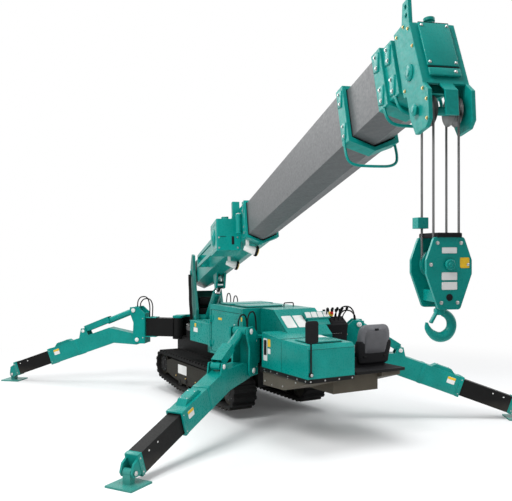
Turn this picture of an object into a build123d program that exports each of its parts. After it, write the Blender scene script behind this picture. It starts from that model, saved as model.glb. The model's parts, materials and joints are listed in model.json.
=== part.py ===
from build123d import *
import math
import os

# All lengths are in mm. X points forward, Y to the machine's left, Z up.
# The design origin is on the slewing axis at ground level; the export moves it to the middle of the footprint.


def block(x0, x1, y0, y1, z0, z1):
    """A box given by its limits."""
    centre = ((x0 + x1) / 2, (y0 + y1) / 2, (z0 + z1) / 2)
    return Pos(*centre) * Box(x1 - x0, y1 - y0, z1 - z0)


def profile(points, y0, y1):
    """A side outline in X and Z, as thick as from y0 to y1."""
    outline = extrude(Polygon(*points, align=None), amount=y1 - y0, dir=(0, 0, 1))
    return Pos(0, y1, 0) * Rot(90, 0, 0) * outline


def cross_rod(x, z, radius, y0, y1):
    """A round bar along Y."""
    bar = Cylinder(radius, y1 - y0)
    return Pos(x, (y0 + y1) / 2, z) * Rot(90, 0, 0) * bar


def upright(x, y, radius, z0, z1):
    """A round bar along Z."""
    return Pos(x, y, (z0 + z1) / 2) * Cylinder(radius, z1 - z0)


def bar(start, end, radius):
    """A round bar between two points."""
    along = Vector(*end) - Vector(*start)
    rod = Cylinder(radius, along.length, align=(Align.CENTER, Align.CENTER, Align.MIN))
    return Plane(origin=start, z_dir=along).location * rod


def joined(pieces):
    """All pieces as one solid."""
    whole = pieces[0]
    for piece in pieces[1:]:
        whole = whole + piece
    return whole


def group(pieces):
    """Like pieces that stay separate solids in one node."""
    return Compound(children=[solid for piece in pieces for solid in piece.solids()])


# Tracks
TRACK_OUTER = 690
TRACK_WIDTH = 320
TRACK_INNER = TRACK_OUTER - TRACK_WIDTH
BELT = 34
LUG = 24
LUG_PITCH = 96
LUG_ROOT = 52
LUG_TIP = 36
FRONT_WHEEL = (190, 402, 213)
LOWER_FRONT_WHEEL = (-430, 235, 120)
REAR_WHEEL = (-1960, 350, 235)
UPPER_ROLLERS = (-1420, -780)
LOWER_ROLLERS = (-1620, -1300, -980, -660)
ROLLER_RADIUS = 52


def hull_path(wheels, inset):
    """Points and directions around the outside of the wheels, anticlockwise seen from the right."""
    count = len(wheels)
    corners = []
    for i in range(count):
        xa, za, ra = wheels[i]
        xb, zb, rb = wheels[(i + 1) % count]
        span = math.hypot(xb - xa, zb - za)
        heading = math.atan2(zb - za, xb - xa)
        normal = heading - math.acos((ra - rb) / span)
        corners.append(normal)
    path = []
    for i in range(count):
        x, z, radius = wheels[i]
        first = corners[i - 1]
        last = corners[i]
        while last < first:
            last += 2 * math.pi
        path.append((x, z, radius - inset, first, last))
    return path


def walk(path):
    """Straight and round stretches of the path as (length, function giving point and outward angle)."""
    stretches = []
    count = len(path)
    for i in range(count):
        x, z, radius, first, last = path[i]
        nx, nz, nr, nfirst, _ = path[(i + 1) % count]

        def around(d, x=x, z=z, radius=radius, first=first):
            angle = first + d / radius
            return (x + radius * math.cos(angle), z + radius * math.sin(angle), angle)

        stretches.append((radius * (last - first), around))
        start = (x + radius * math.cos(last), z + radius * math.sin(last))
        end = (nx + nr * math.cos(nfirst), nz + nr * math.sin(nfirst))
        length = math.hypot(end[0] - start[0], end[1] - start[1])

        def straight(d, start=start, end=end, length=length, angle=last):
            share = d / length
            return (start[0] + (end[0] - start[0]) * share, start[1] + (end[1] - start[1]) * share, angle)

        stretches.append((length, straight))
    return stretches


def point_on(stretches, distance):
    for length, place in stretches:
        if distance <= length:
            return place(distance)
        distance -= length
    return stretches[-1][1](stretches[-1][0])


INSIDE_POINTS = 120
TRACK_WHEELS = [FRONT_WHEEL, REAR_WHEEL, LOWER_FRONT_WHEEL]


def track_outline():
    """The belt's outline with its lugs."""
    stretches = walk(hull_path(TRACK_WHEELS, LUG))
    total = sum(length for length, _ in stretches)
    count = round(total / LUG_PITCH)
    pitch = total / count
    points = []
    for i in range(count):
        for offset, height in ((-LUG_ROOT / 2, 0), (-LUG_TIP / 2, LUG), (LUG_TIP / 2, LUG), (LUG_ROOT / 2, 0)):
            x, z, angle = point_on(stretches, (i + 0.5) * pitch + offset)
            points.append((x + height * math.cos(angle), z + height * math.sin(angle)))
    return points


def track_inside():
    """The inner outline of the belt."""
    stretches = walk(hull_path(TRACK_WHEELS, LUG + BELT))
    total = sum(length for length, _ in stretches)
    count = INSIDE_POINTS
    return [point_on(stretches, i * total / count)[:2] for i in range(count)]


def track(side):
    inner = TRACK_INNER * side
    outer = TRACK_OUTER * side
    y0, y1 = min(inner, outer), max(inner, outer)
    return profile(track_outline(), y0, y1) - profile(track_inside(), y0 - 1, y1 + 1)


# Wheels inside each track
SPROCKET_CLEAR = 2
SIDE_PLATE = 16
OUTER_PLATE = TRACK_OUTER - 54
INNER_PLATE = TRACK_INNER + 34


def rollers():
    pieces = []
    for side in (1, -1):
        y0, y1 = sorted((side * INNER_PLATE, side * OUTER_PLATE))
        for x, z, radius in (FRONT_WHEEL, REAR_WHEEL):
            pieces.append(cross_rod(x, z, radius - LUG - BELT - SPROCKET_CLEAR, y0, y1))
        for x in LOWER_ROLLERS:
            pieces.append(cross_rod(x, LOWER_FRONT_WHEEL[1] - 5, ROLLER_RADIUS, y0, y1))
        x, z, radius = LOWER_FRONT_WHEEL
        pieces.append(cross_rod(x, z, radius - LUG - BELT - SPROCKET_CLEAR, y0, y1))
        for x in UPPER_ROLLERS:
            pieces.append(cross_rod(x, 478, ROLLER_RADIUS - 16, y0, y1))
    return group(pieces)


# Track side frames stand outside the wheels and reach inward to the base frame
FRAME_FRONT = 60
FRAME_REAR = -1860


def track_frames():
    pieces = []
    for side in (1, -1):
        outline = [
            (FRAME_FRONT, 300), (FRAME_FRONT, 470), (-120, 520), (-1700, 505), (FRAME_REAR, 440),
            (FRAME_REAR, 300), (-1700, 215), (-480, 215), (-200, 250),
        ]
        outer = sorted((side * OUTER_PLATE, side * (OUTER_PLATE + SIDE_PLATE)))
        inner = sorted((side * (INNER_PLATE - SIDE_PLATE), side * INNER_PLATE))
        for y0, y1 in (outer, inner):
            pieces.append(profile(outline, y0, y1))
        for x0, x1 in ((-560, -360), (-1560, -1360)):
            y0, y1 = sorted((side * FRAME_HALF, side * (INNER_PLATE - SIDE_PLATE)))
            pieces.append(block(x0, x1, y0, y1, 300, 470))
    return group(pieces)


# Base frame
FRAME_HALF = TRACK_INNER - 40
# How much narrower the frame is on each side behind the tracks
REAR_NARROWER = 30
FRAME_TOP = 790
FRAME_BOTTOM = 400
FRONT_FACE = 395
FRONT_SWING = (300, 370)
REAR_SWING = (-2500, 600)
RING_LOW = 906
RING_RADIUS = 330
HUB_OUTER = 80
PIN_RADIUS = 40
PIN_CLEAR = 0.5
HUB_LOW = 790
HUB_HIGH = 1070
EAR = 30
EAR_GAP = 8


def swing_mount(x, y, root_x, root_y):
    """Two ears and a pin that a yoke swings on, tied to the frame by a web."""
    side = 1 if y > 0 else -1
    reach = math.hypot(x - root_x, abs(y) - root_y)
    heading = math.degrees(math.atan2(abs(y) - root_y, x - root_x)) * side
    at = Location((x, y, 0), (0, 0, heading))
    pieces = [at * upright(0, 0, PIN_RADIUS, HUB_LOW - EAR_GAP - 2, HUB_HIGH + EAR_GAP + 2)]
    for z0 in (HUB_LOW - EAR_GAP - EAR, HUB_HIGH + EAR_GAP):
        pieces.append(at * block(-reach, 0, -HUB_OUTER, HUB_OUTER, z0, z0 + EAR))
        pieces.append(at * upright(0, 0, HUB_OUTER, z0, z0 + EAR))
    web_end = -HUB_OUTER - 30
    pieces.append(at * block(-reach, web_end, -18, 18, HUB_LOW - EAR_GAP - EAR, HUB_HIGH + EAR_GAP + EAR))
    return pieces


def base_frame():
    pieces = [
        block(-2150, 400, -FRAME_HALF, FRAME_HALF, FRAME_BOTTOM, FRAME_TOP),
        block(-3700, -2100, REAR_NARROWER - FRAME_HALF, FRAME_HALF - REAR_NARROWER, 590, FRAME_TOP),
        upright(0, 0, RING_RADIUS, FRAME_TOP - 40, RING_LOW),
        block(FRONT_FACE, FRONT_FACE + 65, 40 - FRAME_HALF, FRAME_HALF - 40,
              FRAME_BOTTOM + 120, HUB_HIGH + EAR_GAP + EAR),
        block(-2620, -2360, -430, 430, 640, FRAME_TOP),
    ]
    for side in (1, -1):
        pieces += swing_mount(FRONT_SWING[0], side * FRONT_SWING[1], FRONT_FACE + 35, 250)
        y0, y1 = sorted((side * 300, side * 430))
        pieces.append(block(-2560, -2440, y0, y1, FRAME_TOP - 100, HUB_HIGH + EAR_GAP + EAR))
        pieces += swing_mount(REAR_SWING[0], side * REAR_SWING[1], REAR_SWING[0], 400)
    return joined(pieces)


# Body panels
SHEET = 6
BODY_SIDE = 690
HOOD_FRONT = -1500
HOOD_REAR = -2400
HOOD_TOP = 1420
HOOD_BOTTOM = FRAME_TOP
HOOD_RIGHT = -150
HOOD_NOTCH = 440
DOOR_FRONT = HOOD_FRONT - 50
DOOR_REAR = HOOD_REAR + 50
DOOR_TOP = HOOD_TOP - 70
DOOR_BOTTOM = HOOD_BOTTOM + 30
DOOR_GAP = 6
DOOR_THICK = 24
HINGE_OUT = 12
HINGE_PIN = 6
KNUCKLE = 12
KNUCKLE_HALF = 30
HINGE_HEIGHTS = (930, 1250)


def engine_hood():
    outline = [
        (HOOD_FRONT, HOOD_BOTTOM), (HOOD_FRONT, HOOD_TOP - 30), (HOOD_FRONT - 30, HOOD_TOP),
        (HOOD_REAR, HOOD_TOP), (HOOD_REAR, HOOD_BOTTOM),
    ]
    inside = [
        (HOOD_FRONT - SHEET, HOOD_BOTTOM - 1), (HOOD_FRONT - SHEET, HOOD_TOP - 30 - SHEET),
        (HOOD_FRONT - 30 - SHEET, HOOD_TOP - SHEET), (HOOD_REAR + SHEET, HOOD_TOP - SHEET),
        (HOOD_REAR + SHEET, HOOD_BOTTOM - 1),
    ]
    shell = profile(outline, HOOD_RIGHT, BODY_SIDE)
    shell = shell - profile(inside, HOOD_RIGHT + SHEET, BODY_SIDE - SHEET)
    opening = block(DOOR_REAR - DOOR_GAP, DOOR_FRONT + DOOR_GAP, BODY_SIDE - 60, BODY_SIDE + 1,
                    DOOR_BOTTOM - DOOR_GAP, DOOR_TOP + DOOR_GAP)
    shell = shell - opening
    for z in HINGE_HEIGHTS:
        shell = shell + upright(DOOR_FRONT, BODY_SIDE + HINGE_OUT, HINGE_PIN,
                                z - 2 * KNUCKLE_HALF, z + KNUCKLE_HALF - 6)
        low = block(DOOR_FRONT - KNUCKLE, DOOR_FRONT + 34, BODY_SIDE, BODY_SIDE + HINGE_OUT + KNUCKLE,
                    z - 2 * KNUCKLE_HALF, z - KNUCKLE_HALF - PIN_CLEAR)
        shell = shell + low
    return shell


def engine_door():
    """Side door hinged along its front edge, with a pull handle."""
    panel = block(DOOR_REAR, DOOR_FRONT - KNUCKLE, BODY_SIDE - DOOR_THICK, BODY_SIDE, DOOR_BOTTOM, DOOR_TOP)
    handle = block(DOOR_REAR + 50, DOOR_REAR + 150, BODY_SIDE - 1, BODY_SIDE + 14, 1240, 1270)
    pieces = [panel, handle]
    for z in HINGE_HEIGHTS:
        pieces.append(upright(DOOR_FRONT, BODY_SIDE + HINGE_OUT, KNUCKLE, z - KNUCKLE_HALF, z + KNUCKLE_HALF))
        pieces.append(block(DOOR_FRONT - 60, DOOR_FRONT, BODY_SIDE - 1, BODY_SIDE + 8,
                            z - KNUCKLE_HALF, z + KNUCKLE_HALF))
    door = joined(pieces)
    for z in HINGE_HEIGHTS:
        door = door - upright(DOOR_FRONT, BODY_SIDE + HINGE_OUT, HINGE_PIN + PIN_CLEAR,
                              z - 2 * KNUCKLE_HALF, z + KNUCKLE_HALF - 5)
    return door


def engine_block():
    return block(HOOD_REAR + 120, HOOD_FRONT - 120, HOOD_RIGHT + 90, BODY_SIDE - 170, FRAME_TOP, 1290)


REAR_END = -3800
REAR_TOP = 1140
REAR_RIGHT = 95
LOW_FRONT = -2860
SLOPE_TOP = -2700
SLOPE_END = -3060


def rear_hood():
    """Low rear hood with the slope up to the height of the engine hood."""
    low = [
        (REAR_END, HOOD_BOTTOM), (LOW_FRONT, HOOD_BOTTOM), (LOW_FRONT, 1190),
        (SLOPE_END - 160, REAR_TOP + 12), (REAR_END + 40, REAR_TOP), (REAR_END, REAR_TOP - 40),
    ]
    high = [
        (HOOD_REAR, HOOD_BOTTOM), (HOOD_REAR, HOOD_TOP), (SLOPE_TOP, HOOD_TOP),
        (SLOPE_END, REAR_TOP), (SLOPE_END, HOOD_BOTTOM),
    ]
    hood = profile(low, REAR_RIGHT, BODY_SIDE) + profile(high, HOOD_RIGHT, HOOD_NOTCH)
    mount = block(-2640, -2380, 280, HOOD_NOTCH + 20, HOOD_BOTTOM - 1, HUB_HIGH + EAR_GAP + EAR + 12)
    return hood - mount


def tool_box():
    box = block(-1490, -880, FRAME_HALF + 90, BODY_SIDE, 880, 1150)
    return box + block(-1490, -900, FRAME_HALF, FRAME_HALF + 100, 700, 880)


def side_tank():
    return block(-2300, -900, -BODY_SIDE, REAR_NARROWER - FRAME_HALF, FRAME_TOP, 1210)


PLATFORM_TOP = FRAME_TOP + 30


def operator_platform():
    deck = block(REAR_END, SLOPE_END - 5, -600, REAR_RIGHT - 5, PLATFORM_TOP - 30, PLATFORM_TOP)
    deck = deck + block(SLOPE_END - 6, -2760, -600, HOOD_RIGHT - 5, PLATFORM_TOP - 30, PLATFORM_TOP)
    return deck + block(-3560, -3200, -520, -40, PLATFORM_TOP, PLATFORM_TOP + 110)


SEAT_REAR = -3640
SEAT_LOW = PLATFORM_TOP + 110
SEAT_LEFT = -110
SEAT_RIGHT = -570


def seat():
    cushion = [
        (SEAT_REAR + 100, SEAT_LOW), (SEAT_REAR + 480, SEAT_LOW), (SEAT_REAR + 500, 960), (SEAT_REAR + 470, 1010),
        (SEAT_REAR + 120, 985),
    ]
    back = [
        (SEAT_REAR + 70, SEAT_LOW), (SEAT_REAR + 150, SEAT_LOW), (SEAT_REAR + 110, 1200), (SEAT_REAR + 75, 1305),
        (SEAT_REAR + 10, 1300), (SEAT_REAR, 1240), (SEAT_REAR + 30, 1000),
    ]
    return profile(cushion, SEAT_RIGHT, SEAT_LEFT) + profile(back, SEAT_RIGHT, SEAT_LEFT)


def console():
    outline = [
        (-2860, PLATFORM_TOP), (-2700, PLATFORM_TOP), (-2700, 1300), (-2780, 1310), (-2900, 1220), (-2880, 1100),
    ]
    return profile(outline, -500, HOOD_RIGHT - 10)


LEVERS = (-460, -400, -340, -280, -220)


def control_levers():
    pieces = []
    for y in LEVERS:
        stem = upright(-2790, y, 8, 1295, 1370) + upright(-2790, y, 17, 1368, 1402)
        pieces.append(stem - console())
    return group(pieces)


MIRROR_AT = (REAR_END - 16, BODY_SIDE - 30)


def mirror():
    x, y = MIRROR_AT
    face = block(x - 24, x + 4, y - 72, y + 72, 1165, 1395)
    face = fillet(face.edges().filter_by(Axis.X), 30)
    stalk = bar((x + 4, y, 820), (x + 4, y, 1200), 9)
    foot = block(x - 6, REAR_END, y - 20, y + 20, 820, 860)
    return joined([face, stalk, foot])


def under_skirt():
    """Dark plates under the rear hood and the platform."""
    sides = []
    inner = FRAME_HALF - REAR_NARROWER
    for y0, y1, top in ((inner, BODY_SIDE - 20, HOOD_BOTTOM), (-560, -inner, FRAME_TOP)):
        low = [(REAR_END + 30, top), (REAR_END + 30, 740), (-3300, 600), (LOW_FRONT, 590), (LOW_FRONT, top)]
        sides.append(profile(low, y0, y1))
    return group(sides)


# Column
RING_HIGH = 985
BOOM_HEADING = 180 - 18
BOOM_RISE = 8.7
FOOT_BACK = -380
FOOT_HEIGHT = 1765
BASE_WIDTH = 300
CHEEK_GAP = 22
CHEEK_PLATE = 40
CHEEK_IN = BASE_WIDTH / 2 + CHEEK_GAP
CHEEK_OUT = CHEEK_IN + CHEEK_PLATE
FOOT_PIN = 38


def slew_ring():
    return upright(0, 0, RING_RADIUS, RING_LOW, RING_HIGH - 30) + upright(0, 0, 290, RING_LOW, RING_HIGH)


LUFF_FOOT = (150, RING_HIGH + 110)
LUFF_PIN = 34


def column_frame():
    """Two cheeks on a base plate, with the boom's foot pin and the luff cylinder's pin."""
    cheek = [
        (-300, RING_HIGH + 30), (300, RING_HIGH + 30), (290, RING_HIGH + 245), (60, FOOT_HEIGHT - 265),
        (-120, FOOT_HEIGHT + 35), (-180, FOOT_HEIGHT + 275), (-330, FOOT_HEIGHT + 295), (-500, FOOT_HEIGHT + 85),
        (-480, FOOT_HEIGHT - 165), (-330, RING_HIGH + 315),
    ]
    pieces = [block(-310, 310, -CHEEK_OUT, CHEEK_OUT, RING_HIGH, RING_HIGH + 40)]
    for y0, y1 in ((CHEEK_IN, CHEEK_OUT), (-CHEEK_OUT, -CHEEK_IN)):
        pieces.append(profile(cheek, y0, y1))
    pieces.append(profile([(-320, 1020), (-290, 1020), (-390, 1480), (-420, 1480)], -CHEEK_IN - 5, CHEEK_IN + 5))
    pieces.append(cross_rod(FOOT_BACK, FOOT_HEIGHT, FOOT_PIN, -CHEEK_OUT - 20, CHEEK_OUT + 20))
    pieces.append(cross_rod(*LUFF_FOOT, LUFF_PIN, -CHEEK_OUT - 10, CHEEK_OUT + 10))
    return joined(pieces)


# Boom, built along X from its foot pin
SECTIONS = 5
BASE_SIDE = 350
BASE_KEEL = 66
STEP = 32
STEP_SMALLER = 2
WALL = 8
COLLAR = 14
BASE_START = -90
OVERLAP_BACK = (0, 3330, 4010, 4190, 4330)
SECTION_END = (4400, 7400, 7930, 8040, 8090)
COLLAR_LENGTH = 110
# The section ends lean back towards the top by this share of the height
LEAN = 0.2
# Cuts across the boom reach past its deepest section
DEEP = BASE_SIDE + 50
PAD_LENGTH = 140
# How far each section slides from where it stands
EXTEND_RANGE = {
    "boom_second": (-2880, 0),
    "boom_third": (-412, 2600),
    "boom_fourth": (0, 2900),
    "boom_tip": (0, 2900),
}


def widths():
    """Width, side height and keel depth of each section, each inside the one before."""
    sizes = []
    width, side, keel = BASE_WIDTH, BASE_SIDE, BASE_KEEL
    for i in range(SECTIONS):
        sizes.append((width, side, keel))
        step = STEP - STEP_SMALLER * i
        width -= step
        side -= step
        keel -= 7
    return sizes


def pentagon(width, side, keel, x0, x1):
    """A bar with a flat top, upright sides and a keel below."""
    half = width / 2
    outline = [(-half, -side / 2), (0, -side / 2 - keel), (half, -side / 2), (half, side / 2), (-half, side / 2)]
    solid = extrude(Polygon(*outline, align=None), amount=x1 - x0, dir=(0, 0, 1))
    return Pos(x0, 0, 0) * Rot(0, 90, 0) * Rot(0, 0, 90) * solid


def leaning(x0, x1):
    """A slab across the boom between two leaning planes."""
    lean = LEAN * DEEP
    outline = [(x0 + lean, -DEEP), (x1 + lean, -DEEP), (x1 - lean, DEEP), (x0 - lean, DEEP)]
    return profile(outline, -DEEP, DEEP)


def tube_space(i):
    """The room inside a section."""
    width, side, keel = widths()[i]
    start = BASE_START + 20 if i == 0 else OVERLAP_BACK[i] - 1
    return pentagon(width - 2 * WALL, side - 2 * WALL, keel - 2, start, SECTION_END[i] + DEEP)


def section(i):
    """One tube of the telescope with the leaning collar at its end."""
    width, side, keel = widths()[i]
    start = BASE_START if i == 0 else OVERLAP_BACK[i]
    end = SECTION_END[i]
    if i == SECTIONS - 1:
        tube = pentagon(width, side, keel, start, end)
    else:
        tube = pentagon(width, side, keel, start, end + DEEP) - leaning(end, end + 2 * DEEP)
        collar = pentagon(width + 2 * COLLAR, side + 2 * COLLAR, keel, end - DEEP, end + DEEP)
        tube = tube + (collar & leaning(end - COLLAR_LENGTH, end))
    if i > 0:
        outer_width, outer_side, outer_keel = widths()[i - 1]
        inside = 2 * (WALL + PIN_CLEAR)
        tube = tube + pentagon(outer_width - inside, outer_side - inside, outer_keel - 4, start, start + PAD_LENGTH)
    return tube - tube_space(i)


LUFF_EYE = (1600, -362)
LUFF_EAR_IN = 44
LUFF_EAR_OUT = 66


def boom_base():
    tube = section(0)
    foot = cross_rod(0, 0, 90, -BASE_WIDTH / 2, BASE_WIDTH / 2)
    foot = foot + block(-90, 60, -BASE_WIDTH / 2, BASE_WIDTH / 2, -90, 90)
    tube = tube + foot - cross_rod(0, 0, FOOT_PIN + PIN_CLEAR, -400, 400)
    x, z = LUFF_EYE
    ear = [(x - 190, -180), (x - 60, z - 46), (x + 60, z - 46), (x + 190, -180)]
    for y0, y1 in ((LUFF_EAR_IN, LUFF_EAR_OUT), (-LUFF_EAR_OUT, -LUFF_EAR_IN)):
        tube = tube + profile(ear, y0, y1)
    return tube - tube_space(0)


WINCH_FRONT = 4050
WINCH_REAR = 3600
WINCH_DEEP = 245
WINCH_LOW = -262
WINCH_TOP = 65
GUARD_END = 1500


def winch():
    """Hoist winch case on the boom's left side, with its cap, guard arms and eye bracket."""
    face = -BASE_WIDTH / 2
    case = block(WINCH_REAR, WINCH_FRONT, face - WINCH_DEEP, face, WINCH_LOW, WINCH_TOP)
    case = chamfer(case.edges().filter_by(Axis.Z).sort_by(Axis.Y)[:2], 12)
    middle = (WINCH_REAR + WINCH_FRONT) / 2
    pieces = [case]
    for radius, low, high in ((62, -1, 36), (38, 35, 60)):
        pieces.append(upright(middle, face - 120, radius, WINCH_TOP + low, WINCH_TOP + high))
    for high, end in ((50, 60), (-90, -70)):
        arm = [(WINCH_REAR + 5, high), (WINCH_REAR + 5, high - 60), (GUARD_END, end - 34), (GUARD_END, end)]
        pieces.append(profile(arm, face - 140, face - 116))
    pieces.append(block(GUARD_END, GUARD_END + 40, face - 140, face, -104, 60))
    pieces.append(block(WINCH_FRONT - 60, WINCH_FRONT, face - 75, face, WINCH_TOP - 5, WINCH_TOP + 180))
    return joined(pieces)


HEAD_PLATE_IN = 92
HEAD_PLATE_OUT = 110
HEAD_SHEAVE = (8225, -285, 68)
HEAD_PIN = 20
HEAD_LUG = (8178, 228)
HEAD_LUG_LOWER = 185
HEAD_WALL = (8082, 8100)


def boom_tip():
    """Tip section with the head's side plates, front cover, top lug and pin."""
    tube = section(4)
    plate = [
        (8098, -180), (8030, 160), (8160, 166), (8205, 140), (8300, -185), (8345, -231), (8335, -360), (8300, -388),
        (8195, -388), (8150, -300), (8130, -190),
    ]
    cover = [
        (8033, 148), (8030, 160), (8160, 166), (8205, 140), (8300, -185), (8289, -188), (8196, 132), (8157, 154),
    ]
    nose = [(8289, -188), (8300, -185), (8345, -231), (8337, -340), (8326, -340), (8333, -228)]
    pieces = [tube]
    for y0, y1 in ((HEAD_PLATE_IN, HEAD_PLATE_OUT), (-HEAD_PLATE_OUT, -HEAD_PLATE_IN)):
        pieces.append(profile(plate, y0, y1))
    pieces.append(block(*HEAD_WALL, -HEAD_PLATE_OUT, HEAD_PLATE_OUT, -150, 150))
    pieces.append(profile(cover, -HEAD_PLATE_IN - 1, HEAD_PLATE_IN + 1))
    pieces.append(profile(nose, -30, 30))
    pieces.append(upright(8125, 30, 20, 158, 206) + upright(8125, 30, 27, 192, 208))
    pieces.append(cross_rod(*HEAD_SHEAVE[:2], HEAD_PIN, -HEAD_PLATE_OUT - 12, HEAD_PLATE_OUT + 12))
    x, z = HEAD_LUG
    lug = [(x - 58, 150), (x - 30, z + 30), (x + 30, z + 30), (x + 26, 140)]
    pieces.append(profile(lug, -HEAD_PLATE_OUT, -HEAD_PLATE_IN))
    head = joined(pieces)
    for height in (z, HEAD_LUG_LOWER):
        head = head - cross_rod(x, height, LUG_HOLE, -400, -60)
    return head


LUG_HOLE = 12
SHEAVE_WIDTH = 36
SHEAVE_Y = (-60, 60)
GROOVE = 16
GROOVE_HALF = 6


def sheave(x, z, radius, y, pin, width=SHEAVE_WIDTH):
    """A grooved rope wheel turning on a pin."""
    half = width / 2
    rim = [
        (pin, -half), (radius, -half), (radius - GROOVE, -GROOVE_HALF), (radius - GROOVE, GROOVE_HALF),
        (radius, half), (pin, half),
    ]
    wheel = revolve(Polygon(*rim, align=None), Axis.Y)
    return Pos(x, y, z) * wheel


def head_sheaves():
    return group([sheave(*HEAD_SHEAVE, y, HEAD_PIN + PIN_CLEAR) for y in SHEAVE_Y])


LAMPS = ((3110, -262), (4240, -268))
LAMP_Y = -90
LAMP_TURN = 105


def work_lamps():
    """Lamps under the boom's left edge, shining across below it."""
    pieces = []
    for x, z in LAMPS:
        cone = Pos(x, LAMP_Y - 60, z) * Rot(-LAMP_TURN, 0, 0) * Cone(
            24, 50, 130, align=(Align.CENTER, Align.CENTER, Align.MIN))
        lamp = cone + block(x - 14, x + 14, LAMP_Y - 40, LAMP_Y - 10, z, z + 110)
        pieces.append(lamp - pentagon(*widths()[0], x - 300, x + 300))
    return group(pieces)


def on_boom(piece):
    """From the boom's own frame to the machine's."""
    place = Location((0, 0, 0), (0, 0, BOOM_HEADING)) * Location((FOOT_BACK, 0, FOOT_HEIGHT), (0, -BOOM_RISE, 0))
    return place * piece


def on_column(piece):
    return Location((0, 0, 0), (0, 0, BOOM_HEADING)) * piece


def boom_point(x, z):
    """A point of the boom's frame in the column's frame, as forward distance and height."""
    rise = math.radians(BOOM_RISE)
    along = FOOT_BACK + x * math.cos(rise) - z * math.sin(rise)
    return (along, FOOT_HEIGHT + x * math.sin(rise) + z * math.cos(rise))


# Luff cylinder, with a sleeve between its barrel and its rod
LUFF_BARREL = 64
LUFF_SLEEVE = 50
LUFF_ROD = 38
BARREL_FROM = 30
BORE_FROM = 74


def along(start, end, outer, inner=0):
    """A round bar or tube along X."""
    tube = Pos((start + end) / 2, 0, 0) * Rot(0, 90, 0) * Cylinder(outer, end - start)
    if inner:
        tube = tube - Pos((start + end) / 2, 0, 0) * Rot(0, 90, 0) * Cylinder(inner, end - start + 2)
    return tube


def pin_frame(foot, eye):
    """Length between two pins in the XZ plane, and the place of a piece built along X from the first."""
    length = math.hypot(eye[0] - foot[0], eye[1] - foot[1])
    heading = math.degrees(math.atan2(eye[1] - foot[1], eye[0] - foot[0]))
    return length, Location((foot[0], 0, foot[1]), (0, -heading, 0))


def barrel_shape(end, radius, bore, pin, width):
    """A cylinder's barrel with the eye at its foot."""
    shape = along(BARREL_FROM, end, radius) + cross_rod(0, 0, pin + 22, -width / 2, width / 2)
    return shape - along(BORE_FROM, end + 2, bore) - cross_rod(0, 0, pin + PIN_CLEAR, -width, width)


def rod_shape(start, length, radius, width):
    """A cylinder's rod with its eye."""
    return along(start, length, radius) + cross_rod(length, 0, radius + 12, -width / 2, width / 2)


# Ends of the luff cylinder's pieces, as shares of its length as it stands
LUFF_BARREL_END = 0.80
LUFF_SLEEVE_ENDS = (0.13, 0.85)
LUFF_ROD_START = 0.18


def luff_cylinder():
    length, place = pin_frame(LUFF_FOOT, boom_point(*LUFF_EYE))
    barrel = barrel_shape(LUFF_BARREL_END * length, LUFF_BARREL, LUFF_SLEEVE + PIN_CLEAR, LUFF_PIN,
                          2 * CHEEK_IN - 40)
    start, end = (share * length for share in LUFF_SLEEVE_ENDS)
    sleeve = along(start, end, LUFF_SLEEVE, LUFF_ROD + PIN_CLEAR)
    rod = rod_shape(LUFF_ROD_START * length, length, LUFF_ROD, 2 * (LUFF_EAR_IN - 8))
    return place * barrel, place * sleeve, place * rod


# Hook
ROPE = 5.5
HOOK_BLOCK_TOP = 2165
HOOK_BLOCK_HEIGHT = 315
HOOK_HALF = 106
PLATE_IN = 70
PLATE_OUT = 88
BLOCK_PIN = 12
BLOCK_SHEAVE = 70
BLOCK_SHEAVE_WIDTH = 16
BLOCK_AXLE = 120
TOP_BAR = 50
FALL_OUT = HEAD_SHEAVE[2] - GROOVE + ROPE + PIN_CLEAR


def fall_centre():
    """The falls hang from the front and the rear of the head sheaves, about their axis."""
    return boom_point(*HEAD_SHEAVE[:2])[0]


def falls():
    """Where the four falls hang, in the column's frame."""
    x = fall_centre()
    return [(x + side * FALL_OUT, y) for side in (-1, 1) for y in SHEAVE_Y]


def hoist_rope():
    """The falls between the head sheaves and the block."""
    top = boom_point(*HEAD_SHEAVE[:2])[1]
    return group([upright(x, y, ROPE, HOOK_BLOCK_TOP - BLOCK_AXLE, top) for x, y in falls()])


def rope_weight():
    """Small weight clamped round one fall of the rope above the block."""
    x, y = falls()[0]
    weight = block(x - 30, x + 30, y - 32, y + 18, HOOK_BLOCK_TOP + 40, HOOK_BLOCK_TOP + 90)
    return weight - upright(x, y, ROPE + PIN_CLEAR, HOOK_BLOCK_TOP, HOOK_BLOCK_TOP + 200)


def hook_block():
    """Two side plates across the boom with the lower sheaves between them."""
    top = HOOK_BLOCK_TOP
    low = top - HOOK_BLOCK_HEIGHT
    wide = top - 100
    outline = [
        (-70, top), (70, top), (HOOK_HALF, wide), (HOOK_HALF, wide - 60), (50, low), (-50, low),
        (-HOOK_HALF, wide - 60), (-HOOK_HALF, wide),
    ]
    pieces = []
    for y0, y1 in ((PLATE_IN, PLATE_OUT), (-PLATE_OUT, -PLATE_IN)):
        side = profile(outline, y0, y1)
        pieces.append(fillet(side.edges().filter_by(Axis.Y), 16))
    axle = top - BLOCK_AXLE
    for y in (FALL_OUT, -FALL_OUT):
        pieces.append(sheave(0, axle, BLOCK_SHEAVE, y, 0, BLOCK_SHEAVE_WIDTH))
    pieces.append(cross_rod(0, axle, BLOCK_PIN, -PLATE_OUT - 8, PLATE_OUT + 8))
    pieces.append(block(-46, 46, -PLATE_IN - 1, PLATE_IN + 1, low + 30, low + 80))
    pieces.append(block(-TOP_BAR, TOP_BAR, -PLATE_OUT - 6, PLATE_OUT + 6, top - 2, top + 16))
    whole = joined(pieces) - upright(0, 0, HOOK_SHANK + PIN_CLEAR, low - 1, low + 90)
    return Pos(fall_centre(), 0, 0) * Rot(0, 0, 90) * whole


HOOK_SHANK = 22
HOOK_RING = 58
HOOK_SECTION = 22
HOOK_POINT = 171
HOOK_DROP = 74


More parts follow.
